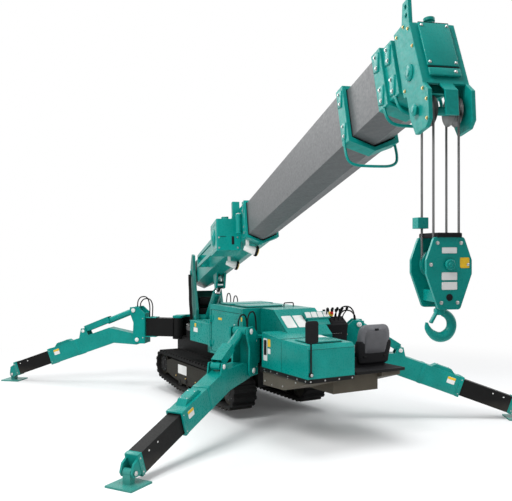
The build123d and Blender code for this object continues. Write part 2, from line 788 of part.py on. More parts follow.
def hook():
    """A forged hook with its shank, nut, point and safety latch."""
    x = fall_centre()
    low = HOOK_BLOCK_TOP - HOOK_BLOCK_HEIGHT
    centre = low - HOOK_DROP
    shank = upright(x, 0, HOOK_SHANK, centre + HOOK_RING, low + 84)
    nut = upright(x, 0, 38, low + 80 + PIN_CLEAR, low + 106)
    ring = Pos(x, 0, centre) * Rot(0, 90, 0) * Torus(HOOK_RING, HOOK_SECTION)
    mouth = Polygon((0, 0), (-70, 190), (-190, 150), (-190, 30), align=None)
    cut = Pos(x - 60, 0, centre) * Rot(90, 0, 90) * extrude(mouth, amount=120, dir=(0, 0, 1))
    bent = ring - cut
    turn = math.radians(HOOK_POINT)
    tip = (x, HOOK_RING * math.cos(turn), centre + HOOK_RING * math.sin(turn))
    point = Plane(origin=tip, z_dir=(0, -0.25, 1)).location * Cone(
        HOOK_SECTION, 9, 36, align=(Align.CENTER, Align.CENTER, Align.MIN))
    latch = bar((x, -16, centre + HOOK_RING), (x, tip[1] + 6, centre + 28), 7)
    return joined([shank, nut, bent, point, latch])


# Outriggers, each built along X from its swing axis
ARM_PIVOT_Z = 735
TOP_PIN = (60, 455)
ARM_SLOPE = 19.5
ARM_HALF = 92
ARM_DEPTH = 250
ARM_WALL = 12
INNER_HALF = 74
INNER_DEPTH = 210
YOKE_IN = 100
YOKE_OUT = 122
ARM_PIN = 28
FOOT_PIN_RADIUS = 18
PAD_HALF = 150
PAD_THICK = 18
EYE_HALF = 58
LUG_IN = 76
LUG_OUT = 92
COVER_BACK = 430
COVER_FRONT = 120
COVER_HIGH = 46
COVER_HALF = 58
GUARD_HALF = 66
GUARD_SHEET = 6

LEGS = {
    "front_left": (FRONT_SWING[0], FRONT_SWING[1], 48),
    "front_right": (FRONT_SWING[0], -FRONT_SWING[1], -48),
    "rear_left": (REAR_SWING[0], REAR_SWING[1], 121.5),
    "rear_right": (REAR_SWING[0], -REAR_SWING[1], -121.5),
}
# Pivot distance from the swing axis, arm end, lug pin and root outline of each pair, from the arm pivot
REACH = {"front": 625, "rear": 230}
ARM_END = {"front": (1513, -326), "rear": (1340, -335)}
ARM_LUG = {"front": (930, 108), "rear": (585, 125)}
ARM_BACK = {"front": 1130, "rear": 900}
EXTENDED = {"front": 660, "rear": 700}
FOOT_DROP = {"front": -60, "rear": -20}
INNER_KEPT = 330
# How far each outrigger joint goes from the pose it stands in, in degrees and mm
SWING_RANGE = {"front": (-28, 27), "rear": (-26, 18)}
LIFT_RANGE = {"front": (-4, 45), "rear": (-4, 28)}
INNER_RANGE = {"front": (-600, 0), "rear": (-480, 0)}


def slope_point(pair, along, up):
    """A point in the arm's sloping frame, measured from the middle of its open end."""
    x, z = ARM_END[pair]
    angle = math.radians(ARM_SLOPE)
    return (x + along * math.cos(angle) + up * math.sin(angle), z - along * math.sin(angle) + up * math.cos(angle))


def slope_block(pair, x0, x1, half_width, half_depth):
    x, z = ARM_END[pair]
    return Location((REACH[pair] + x, 0, ARM_PIVOT_Z + z), (0, ARM_SLOPE, 0)) * block(
        x0, x1, -half_width, half_width, -half_depth, half_depth)


def from_pivot(pair, points):
    return [(REACH[pair] + x, ARM_PIVOT_Z + z) for x, z in points]


def yoke(pair):
    reach = REACH[pair]
    hub = upright(0, 0, HUB_OUTER, HUB_LOW, HUB_HIGH) - upright(0, 0, PIN_RADIUS + PIN_CLEAR, 0, 2000)
    side = from_pivot(pair, [
        (-125, -60), (50, -62), (76, 0), (62, 260), (125, 420), (120, 500), (-10, 510), (-125, 410),
    ])
    pieces = [hub]
    for y0, y1 in ((YOKE_IN, YOKE_OUT), (-YOKE_OUT, -YOKE_IN)):
        pieces.append(profile(side, y0, y1))
    web_front = reach - 98
    pieces.append(block(reach - 125, web_front, -YOKE_IN - 2, YOKE_IN + 2, ARM_PIVOT_Z - 58, ARM_PIVOT_Z + 408))
    beam_start = PIN_RADIUS + PIN_CLEAR + 12
    pieces.append(block(beam_start, reach - 110, -78, 78, HUB_LOW, HUB_HIGH))
    pieces.append(cross_rod(reach, ARM_PIVOT_Z, ARM_PIN, -YOKE_OUT - 14, YOKE_OUT + 14))
    pieces.append(cross_rod(reach + TOP_PIN[0], ARM_PIVOT_Z + TOP_PIN[1], ARM_PIN, -YOKE_OUT - 14, YOKE_OUT + 14))
    return joined(pieces)


def arm(pair):
    half = ARM_DEPTH / 2
    back = ARM_BACK[pair]
    top_end = slope_point(pair, 0, half)
    top_back = slope_point(pair, -back, half)
    low_back = slope_point(pair, -back, -half)
    low_end = slope_point(pair, 0, -half)
    outline = [top_end, top_back, (130, 100), (-60, 62), (-74, 0), (-50, -58), (20, -84), low_back, low_end]
    body = profile(from_pivot(pair, outline), -ARM_HALF, ARM_HALF)
    channel = slope_block(pair, -back + 60, 1, ARM_HALF - ARM_WALL, half - ARM_WALL)
    body = body - channel - cross_rod(REACH[pair], ARM_PIVOT_Z, ARM_PIN + PIN_CLEAR, -300, 300)
    x, z = ARM_LUG[pair]
    base = z - 130
    ear = from_pivot(pair, [(x - 120, base), (x - 34, z + 38), (x + 34, z + 38), (x + 70, base)])
    for y0, y1 in ((LUG_IN, LUG_OUT), (-LUG_OUT, -LUG_IN)):
        body = body + (profile(ear, y0, y1) - channel)
    cover = [
        slope_point(pair, -COVER_BACK, half - 1), slope_point(pair, 50 - COVER_BACK, half + COVER_HIGH),
        slope_point(pair, -COVER_FRONT - 60, half + COVER_HIGH), slope_point(pair, -COVER_FRONT, half - 1),
    ]
    return body + profile(from_pivot(pair, cover), -COVER_HALF, COVER_HALF)


# Ends of an outrigger cylinder's pieces, as shares of its length as it stands
LEG_BARREL = 48
LEG_ROD = 28
LEG_BARREL_END = 0.55
LEG_ROD_START = 0.48
GUARD_START = 0.5
GUARD_BACK = 30


def leg_cylinder(pair):
    """Barrel, and rod with the channel that guards it."""
    length, place = pin_frame(from_pivot(pair, [TOP_PIN])[0], from_pivot(pair, [ARM_LUG[pair]])[0])
    barrel = barrel_shape(LEG_BARREL_END * length, LEG_BARREL, LEG_ROD + PIN_CLEAR, ARM_PIN, 2 * YOKE_IN - 30)
    rod = rod_shape(LEG_ROD_START * length, length, LEG_ROD, 2 * EYE_HALF)
    start = GUARD_START * length
    inside = GUARD_HALF - GUARD_SHEET
    guard = block(start, length - GUARD_BACK, -GUARD_HALF, GUARD_HALF, -GUARD_BACK, GUARD_HALF)
    guard = guard - block(start - 1, length - GUARD_BACK + 1, -inside, inside, -GUARD_BACK - 1, inside)
    tie = along(-GUARD_HALF, GUARD_HALF, 12)
    tie = Pos(length - GUARD_BACK - 4, 0, 0) * Rot(0, 0, 90) * tie
    return place * barrel, place * (rod + guard + tie)


def foot_pin(pair):
    """The foot's pivot, on the middle line of the inner box."""
    return slope_point(pair, EXTENDED[pair] + 82, FOOT_DROP[pair])


def inner_box(pair):
    tube = slope_block(pair, -INNER_KEPT, EXTENDED[pair], INNER_HALF, INNER_DEPTH / 2)
    tube = tube - slope_block(pair, -INNER_KEPT - 1, EXTENDED[pair] - 20, INNER_HALF - 10, INNER_DEPTH / 2 - 10)
    runner = slope_block(pair, -INNER_KEPT, 70 - INNER_KEPT, ARM_HALF - ARM_WALL - PIN_CLEAR,
                         ARM_DEPTH / 2 - ARM_WALL - PIN_CLEAR)
    tube = tube + (runner - slope_block(pair, -INNER_KEPT - 1, 71 - INNER_KEPT, INNER_HALF - 2, INNER_DEPTH / 2 - 2))
    x, z = foot_pin(pair)
    cheek = from_pivot(pair, [
        slope_point(pair, EXTENDED[pair] - 60, 90), slope_point(pair, EXTENDED[pair] + 70, 60),
        (x + 42, z), (x + 20, z - 40), (x - 30, z - 40), slope_point(pair, EXTENDED[pair] - 60, -90),
    ])
    for y0, y1 in ((52, INNER_HALF), (-INNER_HALF, -52)):
        tube = tube + profile(cheek, y0, y1)
    px, pz = from_pivot(pair, [(x, z)])[0]
    return tube + cross_rod(px, pz, FOOT_PIN_RADIUS, -INNER_HALF - 10, INNER_HALF + 10)


def foot(pair):
    x, z = from_pivot(pair, [foot_pin(pair)])[0]
    block_up = cross_rod(x, z, 36, -44, 44) + block(x - 32, x + 32, -44, 44, PAD_THICK - 1, z)
    pad = block(x - PAD_HALF, x + PAD_HALF, -PAD_HALF, PAD_HALF, 0, PAD_THICK)
    return block_up + pad - cross_rod(x, z, FOOT_PIN_RADIUS + PIN_CLEAR, -100, 100)


def outriggers():
    nodes = {}
    for leg, (x, y, heading) in LEGS.items():
        pair = leg.split("_")[0]
        place = Location((x, y, 0), (0, 0, heading))
        barrel, rod = leg_cylinder(pair)
        nodes[leg + "_yoke"] = place * yoke(pair)
        nodes[leg + "_arm"] = place * arm(pair)
        nodes[leg + "_barrel"] = place * barrel
        nodes[leg + "_rod"] = place * rod
        nodes[leg + "_inner"] = place * inner_box(pair)
        nodes[leg + "_foot"] = place * foot(pair)
    return nodes


def assembly():
    luff_barrel, luff_sleeve, luff_rod = luff_cylinder()
    nodes = {
        "base_frame": base_frame(),
        "track_frames": track_frames(),
        "track_left": track(1),
        "track_right": track(-1),
        "track_rollers": rollers(),
        "engine_hood": engine_hood(),
        "engine_door": engine_door(),
        "engine_block": engine_block(),
        "rear_hood": rear_hood(),
        "tool_box": tool_box(),
        "side_tank": side_tank(),
        "operator_platform": operator_platform(),
        "seat": seat(),
        "console": console(),
        "control_levers": control_levers(),
        "mirror": mirror(),
        "under_skirt": under_skirt(),
        "slew_ring": slew_ring(),
        "column_frame": on_column(column_frame()),
        "luff_barrel": on_column(luff_barrel),
        "luff_sleeve": on_column(luff_sleeve),
        "luff_rod": on_column(luff_rod),
        "boom_base": on_boom(boom_base()),
        "winch": on_boom(winch()),
        "work_lamps": on_boom(work_lamps()),
        "boom_second": on_boom(section(1)),
        "boom_third": on_boom(section(2)),
        "boom_fourth": on_boom(section(3)),
        "boom_tip": on_boom(boom_tip()),
        "head_sheaves": on_boom(head_sheaves()),
        "hoist_rope": on_column(hoist_rope()),
        "rope_weight": on_column(rope_weight()),
        "hook_block": on_column(hook_block()),
        "hook": on_column(hook()),
    }
    nodes.update(outriggers())
    return nodes


def footprint_centre(nodes):
    """Middle of the whole machine's box, at its lowest level."""
    box = Compound(children=[solid for node in nodes.values() for solid in node.solids()]).bounding_box()
    return ((box.min.X + box.max.X) / 2, (box.min.Y + box.max.Y) / 2, box.min.Z)


def main():
    nodes = assembly()
    x, y, z = footprint_centre(nodes)
    os.makedirs("parts", exist_ok=True)
    for name, node in nodes.items():
        solids = [Pos(-x, -y, -z) * solid for solid in node.solids()]
        export_step(solids[0] if len(solids) == 1 else Compound(children=solids), "parts/" + name + ".step")


if __name__ == "__main__":
    main()
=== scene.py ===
import json
import math

import bmesh
import bpy
from mathutils import Matrix, Vector

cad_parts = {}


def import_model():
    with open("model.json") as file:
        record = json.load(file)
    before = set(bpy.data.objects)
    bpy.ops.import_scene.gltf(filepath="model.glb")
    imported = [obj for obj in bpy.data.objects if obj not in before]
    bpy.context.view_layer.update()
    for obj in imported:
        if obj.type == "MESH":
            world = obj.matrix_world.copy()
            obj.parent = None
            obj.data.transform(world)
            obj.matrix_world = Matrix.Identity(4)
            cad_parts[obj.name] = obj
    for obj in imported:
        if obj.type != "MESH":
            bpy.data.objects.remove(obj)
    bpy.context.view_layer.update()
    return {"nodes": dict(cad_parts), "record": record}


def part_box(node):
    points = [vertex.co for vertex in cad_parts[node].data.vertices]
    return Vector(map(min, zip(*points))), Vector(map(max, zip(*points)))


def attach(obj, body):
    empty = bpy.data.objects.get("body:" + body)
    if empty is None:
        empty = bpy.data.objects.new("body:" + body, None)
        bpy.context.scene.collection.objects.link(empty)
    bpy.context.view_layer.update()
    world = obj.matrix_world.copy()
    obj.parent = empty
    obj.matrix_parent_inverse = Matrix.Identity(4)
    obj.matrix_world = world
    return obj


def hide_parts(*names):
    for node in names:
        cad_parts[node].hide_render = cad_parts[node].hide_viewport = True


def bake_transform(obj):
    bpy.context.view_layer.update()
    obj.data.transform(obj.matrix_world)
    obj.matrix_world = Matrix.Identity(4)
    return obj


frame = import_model()
NODES = frame["nodes"]
MM = 0.001


def floor_middle(node):
    """The point of the floor under the middle of a node."""
    low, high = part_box(node)
    return Vector(((low.x + high.x) / 2, (low.y + high.y) / 2, 0))


# The design frame has its origin under the slewing ring, in mm
ORIGIN = floor_middle("slew_ring")
ROW = Matrix.Translation(ORIGIN)
UP = (0, 0, 1)
LEFT = (0, 1, 0)
RIGHT = (0, -1, 0)
REAR = (-1, 0, 0)


def at(x, y, z):
    """A point of the design frame in the row frame."""
    return ORIGIN + Vector((x, y, z)) * MM


def upright(point, heading):
    """A frame at a row point, turned about Z."""
    return Matrix.Translation(point) @ Matrix.Rotation(math.radians(heading), 4, "Z")


def moved(frame_at, x, y, z):
    """A frame moved by mm along its own axes."""
    return frame_at @ Matrix.Translation(Vector((x, y, z)) * MM)


def inside(frame_at, x, y, z):
    """A point given in mm in a frame."""
    return frame_at @ (Vector((x, y, z)) * MM)


def heading_of(frame_at, x, y, z):
    """A direction given in a frame."""
    return frame_at.to_3x3() @ Vector((x, y, z))


def both_sides(frame_at):
    """The sign of Y and the way out, for the two sides of a frame."""
    return [(y, heading_of(frame_at, 0, y, 0)) for y in (-1, 1)]


def side_places(frame_at, face, spots, *size):
    """Spots in X and Z on both side faces of a frame, each with the way out and a size."""
    return [
        (inside(frame_at, x, y * face, z), out, *size)
        for y, out in both_sides(frame_at) for x, z in spots
    ]


def circle(count):
    """Cosine and sine at even steps of one turn."""
    turns = [2 * math.pi * k / count for k in range(count)]
    return [(math.cos(turn), math.sin(turn)) for turn in turns]


BOOM_HEADING = 162
BOOM_RISE = 8.7
BOOM_FOOT = (-380, 0, 1765)
COLUMN = upright(ORIGIN, BOOM_HEADING)
BOOM = moved(COLUMN, *BOOM_FOOT) @ Matrix.Rotation(math.radians(-BOOM_RISE), 4, "Y")


# Materials
DUST = (0.30, 0.27, 0.22, 1)
DUST_SHARE = 0.3
ROUND_EDGE = 0.005
# Edges of enamel are lighter by this factor: partly wear, partly a painted highlight
EDGE_WEAR_AND_HIGHLIGHT = 1.35


def feed(tree, node, inputs):
    """Sets each input of a node to a value, or links it to another node's output."""
    for name, value in inputs.items():
        socket = node.inputs[name]
        if isinstance(value, bpy.types.NodeSocket):
            tree.links.new(value, socket)
        else:
            socket.default_value = value


def output_of(tree, kind, output, inputs=None, **settings):
    """An output of a new shader node, with its settings made and its inputs fed."""
    node = tree.nodes.new("ShaderNode" + kind)
    for name, value in settings.items():
        setattr(node, name, value)
    feed(tree, node, inputs or {})
    return node.outputs[output]


def new_material(name):
    material = bpy.data.materials.new(name)
    material.use_nodes = True
    tree = material.node_tree
    tree.nodes.clear()
    surface = output_of(tree, "BsdfPrincipled", "BSDF")
    feed(tree, tree.nodes.new("ShaderNodeOutputMaterial"), {"Surface": surface})
    return material, tree, surface.node


def own_place(tree):
    """The object's own coordinates."""
    return output_of(tree, "TexCoord", "Object")


def noise(tree, scale, detail, stretch=None):
    """Noise over the object's own coordinates. stretch is a heading and a scale along each axis."""
    place = own_place(tree)
    if stretch:
        turn = (0, 0, math.radians(stretch[0]))
        drawn = {"Vector": place, "Rotation": turn, "Scale": stretch[1:]}
        place = output_of(tree, "Mapping", "Vector", drawn)
    return output_of(tree, "TexNoise", "Fac", {"Vector": place, "Scale": scale, "Detail": detail})


def ramp(tree, source, low, high, start=0.3, end=0.7):
    """A blend of two colours over a range of the source."""
    blend = output_of(tree, "ValToRGB", "Color", {"Fac": source})
    first, last = blend.node.color_ramp.elements
    first.position = start
    first.color = low
    last.position = end
    last.color = high
    return blend


def mixed(tree, share, a, b):
    return output_of(tree, "Mix", "Result", {"Factor": share, "A": a, "B": b}, data_type="RGBA")


def maths(tree, operation, a, b):
    return output_of(tree, "Math", "Value", {0: a, 1: b}, operation=operation)


def dot_product(tree, a, b):
    return output_of(tree, "VectorMath", "Value", {0: a, 1: b}, operation="DOT_PRODUCT")


def grey(value):
    return (value, value, value, 1)


def shade(colour, factor):
    return tuple(min(1, c * factor) for c in colour[:3]) + (1,)


def bumped(tree, shader, height, strength, distance=0.001, rounded=None):
    inputs = {"Strength": strength, "Distance": distance, "Height": height}
    if rounded:
        inputs["Normal"] = rounded
    feed(tree, shader, {"Normal": output_of(tree, "Bump", "Normal", inputs)})


def edge_mask(tree):
    """Share near sharp edges, and the rounded normal."""
    rounded = output_of(tree, "Bevel", "Normal", {"Radius": ROUND_EDGE}, samples=4)
    flat = output_of(tree, "NewGeometry", "Normal")
    return ramp(tree, dot_product(tree, rounded, flat), grey(1), grey(0), 0.86, 0.99), rounded


def dust_mask(tree, top):
    """Share of dust, most near the ground and none above the top."""
    place = output_of(tree, "NewGeometry", "Position")
    height = output_of(tree, "SeparateXYZ", "Z", {"Vector": place})
    limits = {"From Min": 0.0, "From Max": top, "To Min": DUST_SHARE, "To Max": 0.0}
    share = output_of(tree, "MapRange", "Result", {"Value": height, **limits})
    return maths(tree, "MULTIPLY", share, noise(tree, scale=9.0, detail=6.0))


def beyond(tree, point, axis):
    """Share that is 1 past a plane of the object's own coordinates."""
    return maths(tree, "GREATER_THAN", dot_product(tree, own_place(tree), axis), Vector(axis).dot(point))


def painted(name, colour, roughness, wear=EDGE_WEAR_AND_HIGHLIGHT, dusty=0.45, gloss=0.2, stretch=None, bands=()):
    """Enamel with faint mottling, edges in another shade that is partly wear and partly a painted
    highlight, and dust up to a height.

    bands are further colours, each with the point and axis of the plane it starts at.
    """
    material, tree, shader = new_material(name)
    mottle = noise(tree, 5.0, 5.0, stretch)
    edges, rounded = edge_mask(tree)

    # Edges take another shade of the tint: partly wear, and where lighter also a painted highlight
    def coat(tint, worn):
        flat = ramp(tree, mottle, shade(tint, 0.86), shade(tint, 1.1), 0.3, 0.75)
        return mixed(tree, edges, flat, shade(tint, worn))

    base = coat(colour, wear)
    for other, point, axis in bands:
        base = mixed(tree, beyond(tree, point, axis), base, coat(other, EDGE_WEAR_AND_HIGHLIGHT))
    fine = noise(tree, scale=60.0, detail=3.0)
    feed(tree, shader, {
        "Base Color": mixed(tree, dust_mask(tree, dusty), base, DUST),
        "Roughness": ramp(tree, fine, grey(roughness - 0.06), grey(roughness + 0.1)),
        "Specular IOR Level": gloss,
    })
    bumped(tree, shader, fine, strength=0.06, rounded=rounded)
    return material


def metal(name, colour, roughness, scale=40.0):
    material, tree, shader = new_material(name)
    grain = noise(tree, scale, detail=4.0)
    feed(tree, shader, {
        "Base Color": ramp(tree, grain, shade(colour, 0.7), colour),
        "Roughness": ramp(tree, grain, grey(0.7 * roughness), grey(1.4 * roughness)),
        "Metallic": 1.0,
    })
    bumped(tree, shader, grain, strength=0.05)
    return material


def rubber(name, colour, bump=0.35, scale=90.0):
    """Dull black rubber or plastic, dusty near the ground."""
    material, tree, shader = new_material(name)
    grain = noise(tree, scale, detail=6.0)
    base = ramp(tree, grain, shade(colour, 0.6), shade(colour, 1.5))
    feed(tree, shader, {
        "Base Color": mixed(tree, dust_mask(tree, 0.18), base, DUST),
        "Roughness": ramp(tree, grain, grey(0.62), grey(0.9)),
        "Specular IOR Level": 0.1,
    })
    bumped(tree, shader, grain, bump, distance=0.002)
    return material


def vinyl(name, colour):
    """Grained seat cover."""
    material, tree, shader = new_material(name)
    cells = output_of(tree, "TexVoronoi", "Distance", {"Vector": own_place(tree), "Scale": 220.0})
    worn = noise(tree, scale=6.0, detail=3.0)
    feed(tree, shader, {
        "Base Color": ramp(tree, worn, shade(colour, 0.8), shade(colour, 1.2)),
        "Roughness": ramp(tree, cells, grey(0.45), grey(0.7)),
    })
    bumped(tree, shader, cells, strength=0.25)
    return material


def lens(name, colour):
    """Ribbed coloured glass."""
    material, tree, shader = new_material(name)
    ribs = output_of(tree, "TexWave", "Fac", {"Vector": own_place(tree), "Scale": 60.0})
    feed(tree, shader, {"Base Color": ramp(tree, ribs, shade(colour, 0.8), colour), "Roughness": 0.12})
    bumped(tree, shader, ribs, strength=0.3)
    return material


def strands(name):
    """Wire rope with its lay."""
    material, tree, shader = new_material(name)
    waves = {"Vector": own_place(tree), "Scale": 70.0, "Distortion": 0.4}
    lay = output_of(tree, "TexWave", "Fac", waves, bands_direction="DIAGONAL")
    base = ramp(tree, lay, grey(0.06), grey(0.2))
    feed(tree, shader, {"Base Color": base, "Metallic": 0.8, "Roughness": 0.45})
    bumped(tree, shader, lay, strength=0.6, distance=0.002)
    return material


TEAL_COLOUR = (0.001, 0.245, 0.212, 1)
GREY_COLOUR = (0.100, 0.105, 0.108, 1)
BLACK_COLOUR = (0.008, 0.008, 0.008, 1)
SKIRT_COLOUR = (0.085, 0.074, 0.056, 1)
RUBBER_COLOUR = (0.010, 0.010, 0.010, 1)
# Black enamel with much lighter edges: partly wear, partly a painted highlight
BLACK_ENAMEL_SETTINGS = {"colour": BLACK_COLOUR, "roughness": 0.45, "wear": 2.5, "dusty": 0.25, "gloss": 0.1}
# A wear above 1 lightens the edges: partly wear, partly a painted highlight
TEAL = painted("teal_enamel", TEAL_COLOUR, 0.28)
# A darker copy of the teal enamel with painted shade, for the column
SHADE_PAINTED_TEAL = painted("teal_enamel_with_painted_shade", (0.001, 0.13, 0.11, 1), 0.4)
OLIVE = painted("olive_enamel", (0.024, 0.022, 0.017, 1), 0.55, wear=2.0, dusty=0.2, gloss=0.1)
SKIRT = painted("brown_skirt", SKIRT_COLOUR, 0.55, wear=1.6)
BLACK_PAINT = painted("black_enamel", **BLACK_ENAMEL_SETTINGS)
TRACK = rubber("track_rubber", RUBBER_COLOUR)
HOSE = rubber("hose_rubber", RUBBER_COLOUR, bump=0.2, scale=160.0)
PLASTIC = rubber("black_plastic", (0.011, 0.011, 0.012, 1), bump=0.15, scale=240.0)
STEEL = metal("bright_steel", (0.55, 0.55, 0.54, 1), 0.3)
CAST = metal("cast_steel", (0.22, 0.22, 0.22, 1), 0.5)
CHROME = metal("chrome_rod", (0.82, 0.82, 0.83, 1), 0.1)
BRASS = metal("yellow_zinc", (0.62, 0.47, 0.2, 1), 0.35)
WHITE = painted("white_plate", (0.78, 0.78, 0.76, 1), 0.4, wear=0.9)
YELLOW = painted("yellow_plate", (0.8, 0.5, 0.03, 1), 0.4, wear=0.8)
RED = painted("red_knob", (0.55, 0.02, 0.02, 1), 0.3, wear=1.2)
SEAT = vinyl("seat_cover", (0.105, 0.105, 0.115, 1))
SEAT_PANEL = vinyl("seat_panel", (0.075, 0.075, 0.082, 1))
AMBER = lens("amber_lens", (0.9, 0.62, 0.08, 1))
MIRROR = metal("mirror_glass", (0.75, 0.77, 0.78, 1), 0.04, scale=4.0)
ROPE = strands("wire_rope")

# The materials of each slot: CAD nodes take the first, and the rest are materials of further pieces
SLOTS = {
    "machine_teal": (TEAL,),
    "track_rubber": (TRACK, HOSE),
    "frame_dark": (OLIVE,),
    "black_plastic": (PLASTIC,),
    "seat_grey": (SEAT, SEAT_PANEL),
    "boom_grey": (TEAL,),
    "cast_steel": (CAST, STEEL, BRASS, ROPE),
    "rod_chrome": (CHROME, MIRROR),
    "inner_black": (BLACK_PAINT,),
    "forged_hook": (TEAL,),
    "lamp_white": (WHITE, YELLOW, RED, AMBER),
}


# Outriggers: swing axis and heading of each, the rest by front and rear pair
LEGS = {
    "front_left": (300, 370, 48),
    "front_right": (300, -370, -48),
    "rear_left": (-2500, 600, 121.5),
    "rear_right": (-2500, -600, -121.5),
}
SLOPE = 19.5
ARM_PIVOT = 735
REACH = {"front": 625, "rear": 230}
ARM_END = {"front": (1513, -326), "rear": (1340, -335)}
ARM_LUG = {"front": (930, 108), "rear": (585, 125)}
TOP_PIN = (60, 455)
EXTENDED = {"front": 660, "rear": 700}
FOOT_DROP = {"front": -60, "rear": -20}


def pair_of(leg):
    return leg.split("_")[0]


def leg_frame(leg):
    """The frame of an outrigger, along X from its swing axis."""
    x, y, heading = LEGS[leg]
    return upright(at(x, y, 0), heading)


def arm_frame(leg):
    """The sloping frame of an outrigger's arm, from the middle of its open end."""
    pair = pair_of(leg)
    x, z = ARM_END[pair]
    end = moved(leg_frame(leg), REACH[pair] + x, 0, ARM_PIVOT + z)
    return end @ Matrix.Rotation(math.radians(SLOPE), 4, "Y")


# Colours of the CAD nodes
LEAN = 0.2
COLLAR_LENGTH = 110
SLIDING = ("boom_second", "boom_third", "boom_fourth")
SECTIONS = ("boom_base", *SLIDING)
SECTION_END = dict(zip(SECTIONS, (4400, 7400, 7930, 8040)))
SECTION_WIDTH = dict(zip(SECTIONS, (300, 268, 238, 210)))
SECTION_SIDE = dict(zip(SECTIONS, (350, 318, 288, 260)))
TEAL_FROM = {name: SECTION_END[name] - COLLAR_LENGTH for name in SLIDING}
TEAL_FROM["boom_tip"] = SECTION_END["boom_fourth"]
BOOM_STREAKS = (-18, 1, 12, 12)
CHEEK_START = -60
YOKE_START = -128
EAR_LEVEL = 1075
SKIRT_START = -2870


def repaint(node, material):
    NODES[node].data.materials[0] = material


def dress_nodes():
    """Each CAD node takes the material of its slot, or its own where it has two colours."""
    for part in frame["record"]["subparts"]:
        node = NODES[part["node"]]
        node.data.materials.clear()
        node.data.materials.append(SLOTS[part["material_slot"]][0])
    along = heading_of(BOOM, 1, 0, LEAN)
    for name, first in TEAL_FROM.items():
        teal = [(TEAL_COLOUR, inside(BOOM, first, 0, 0), along)]
        repaint(name, painted(name + "_enamel", GREY_COLOUR, 0.42, stretch=BOOM_STREAKS, bands=teal))
    for leg in LEGS:
        pair = pair_of(leg)
        starts = {"_inner": (arm_frame(leg), EXTENDED[pair] + CHEEK_START)}
        if pair == "front":
            starts["_yoke"] = (leg_frame(leg), REACH[pair] + YOKE_START)
        for node, (own, x) in starts.items():
            teal = [(TEAL_COLOUR, inside(own, x, 0, 0), heading_of(own, 1, 0, 0))]
            repaint(leg + node, painted(leg + node + "_enamel", **BLACK_ENAMEL_SETTINGS, bands=teal))
    # The column takes the teal with painted shade
    repaint("column_frame", SHADE_PAINTED_TEAL)
    repaint("under_skirt", SKIRT)
    bands = [(TEAL_COLOUR, at(0, 0, EAR_LEVEL), UP), (SKIRT_COLOUR, at(SKIRT_START, 0, 0), REAR)]
    # The frame's edges are lighter: partly wear, partly a painted highlight
    repaint("base_frame", painted(
        "frame_enamel", BLACK_COLOUR, 0.5, wear=2.0, dusty=0.25, gloss=0.1, bands=bands))


# Pieces: sizes are in mm, radii of tubes in metres
SHARP_ANGLE = 35
SIGN_THICK = 3
SIGN_CORNER = 0.12
NEARLY_ALONG = 0.9
STRIP_BEVEL = 1.5
HEX = 6
ROUND = 24
FINE_ROUND = 32
BOLT_SUNK = -2
CAP_SUNK = -1


def add_object(name, data):
    made = bpy.data.objects.new(name, data)
    bpy.context.scene.collection.objects.link(made)
    return made


def show(name, data, material):
    """A new object with one material."""
    data.materials.append(material)
    return add_object(name, data)


def mesh_data(name, mesh):
    data = bpy.data.meshes.new(name)
    mesh.to_mesh(data)
    mesh.free()
    return data


def add_piece(name, data, body, material):
    """A piece with one material that rides a body."""
    piece = show(name, data, material)
    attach(piece, body)
    return piece


def add_mesh(name, mesh, body, material):
    """A piece with smooth faces between its sharp edges."""
    data = mesh_data(name, mesh)
    for face in data.polygons:
        face.use_smooth = True
    data.set_sharp_from_angle(angle=math.radians(SHARP_ANGLE))
    return add_piece(name, data, body, material)


def axis_frame(point, axis):
    """A frame at a row point with Z along the axis."""
    rotation = Vector(axis).to_track_quat("Z", "Y").to_matrix().to_4x4()
    return Matrix.Translation(point) @ rotation


def face_frame(point, right, normal):
    """A frame on a face: X to the right, Z out of it."""
    z = Vector(normal).normalized()
    x = Vector(right)
    x = (x - z * x.dot(z)).normalized()
    turn = Matrix((x, z.cross(x), z)).transposed().to_4x4()
    return Matrix.Translation(point) @ turn


def add_cones(mesh, frame_at, sides, steps):
    """Stubs along the frame's Z, each with its start, its end and the radius at both."""
    for low, high, r0, r1 in steps:
        bmesh.ops.create_cone(
            mesh, cap_ends=True, segments=sides, radius1=r0 * MM, radius2=r1 * MM, depth=(high - low) * MM,
            matrix=moved(frame_at, 0, 0, (low + high) / 2))


def add_box(mesh, place, size, bevel=3, segments=2, upright_only=False):
    """A box of that size in the frame, with all its edges rounded or only those along Z."""
    scale = [value * MM for value in size]
    made = bmesh.ops.create_cube(mesh, size=1.0, matrix=place @ Matrix.Diagonal((*scale, 1)))
    edges = {edge for vert in made["verts"] for edge in vert.link_edges}
    if upright_only:
        up = heading_of(place, *UP)
        runs = [(edge, edge.verts[0].co - edge.verts[1].co) for edge in edges]
        edges = {edge for edge, run in runs if abs(run.normalized().dot(up)) > NEARLY_ALONG}
    bmesh.ops.bevel(
        mesh, geom=list(edges), offset=bevel * MM, segments=segments, affect="EDGES", profile=0.5)


def bolts(name, body, places, material=STEEL):
    """Washers with chamfered hexagon heads at points, each with its axis and size."""
    mesh = bmesh.new()
    for point, axis, size in places:
        place = axis_frame(point, axis)
        washer, head, top = 0.12 * size, 0.6 * size, 0.72 * size
        wide, across, narrow = 1.05 * size, 0.85 * size, 0.68 * size
        add_cones(mesh, place, ROUND, [(BOLT_SUNK, washer, wide, wide)])
        add_cones(mesh, place, HEX, [(washer, head, across, across), (head, top, across, narrow)])
    add_mesh(name, mesh, body, material)


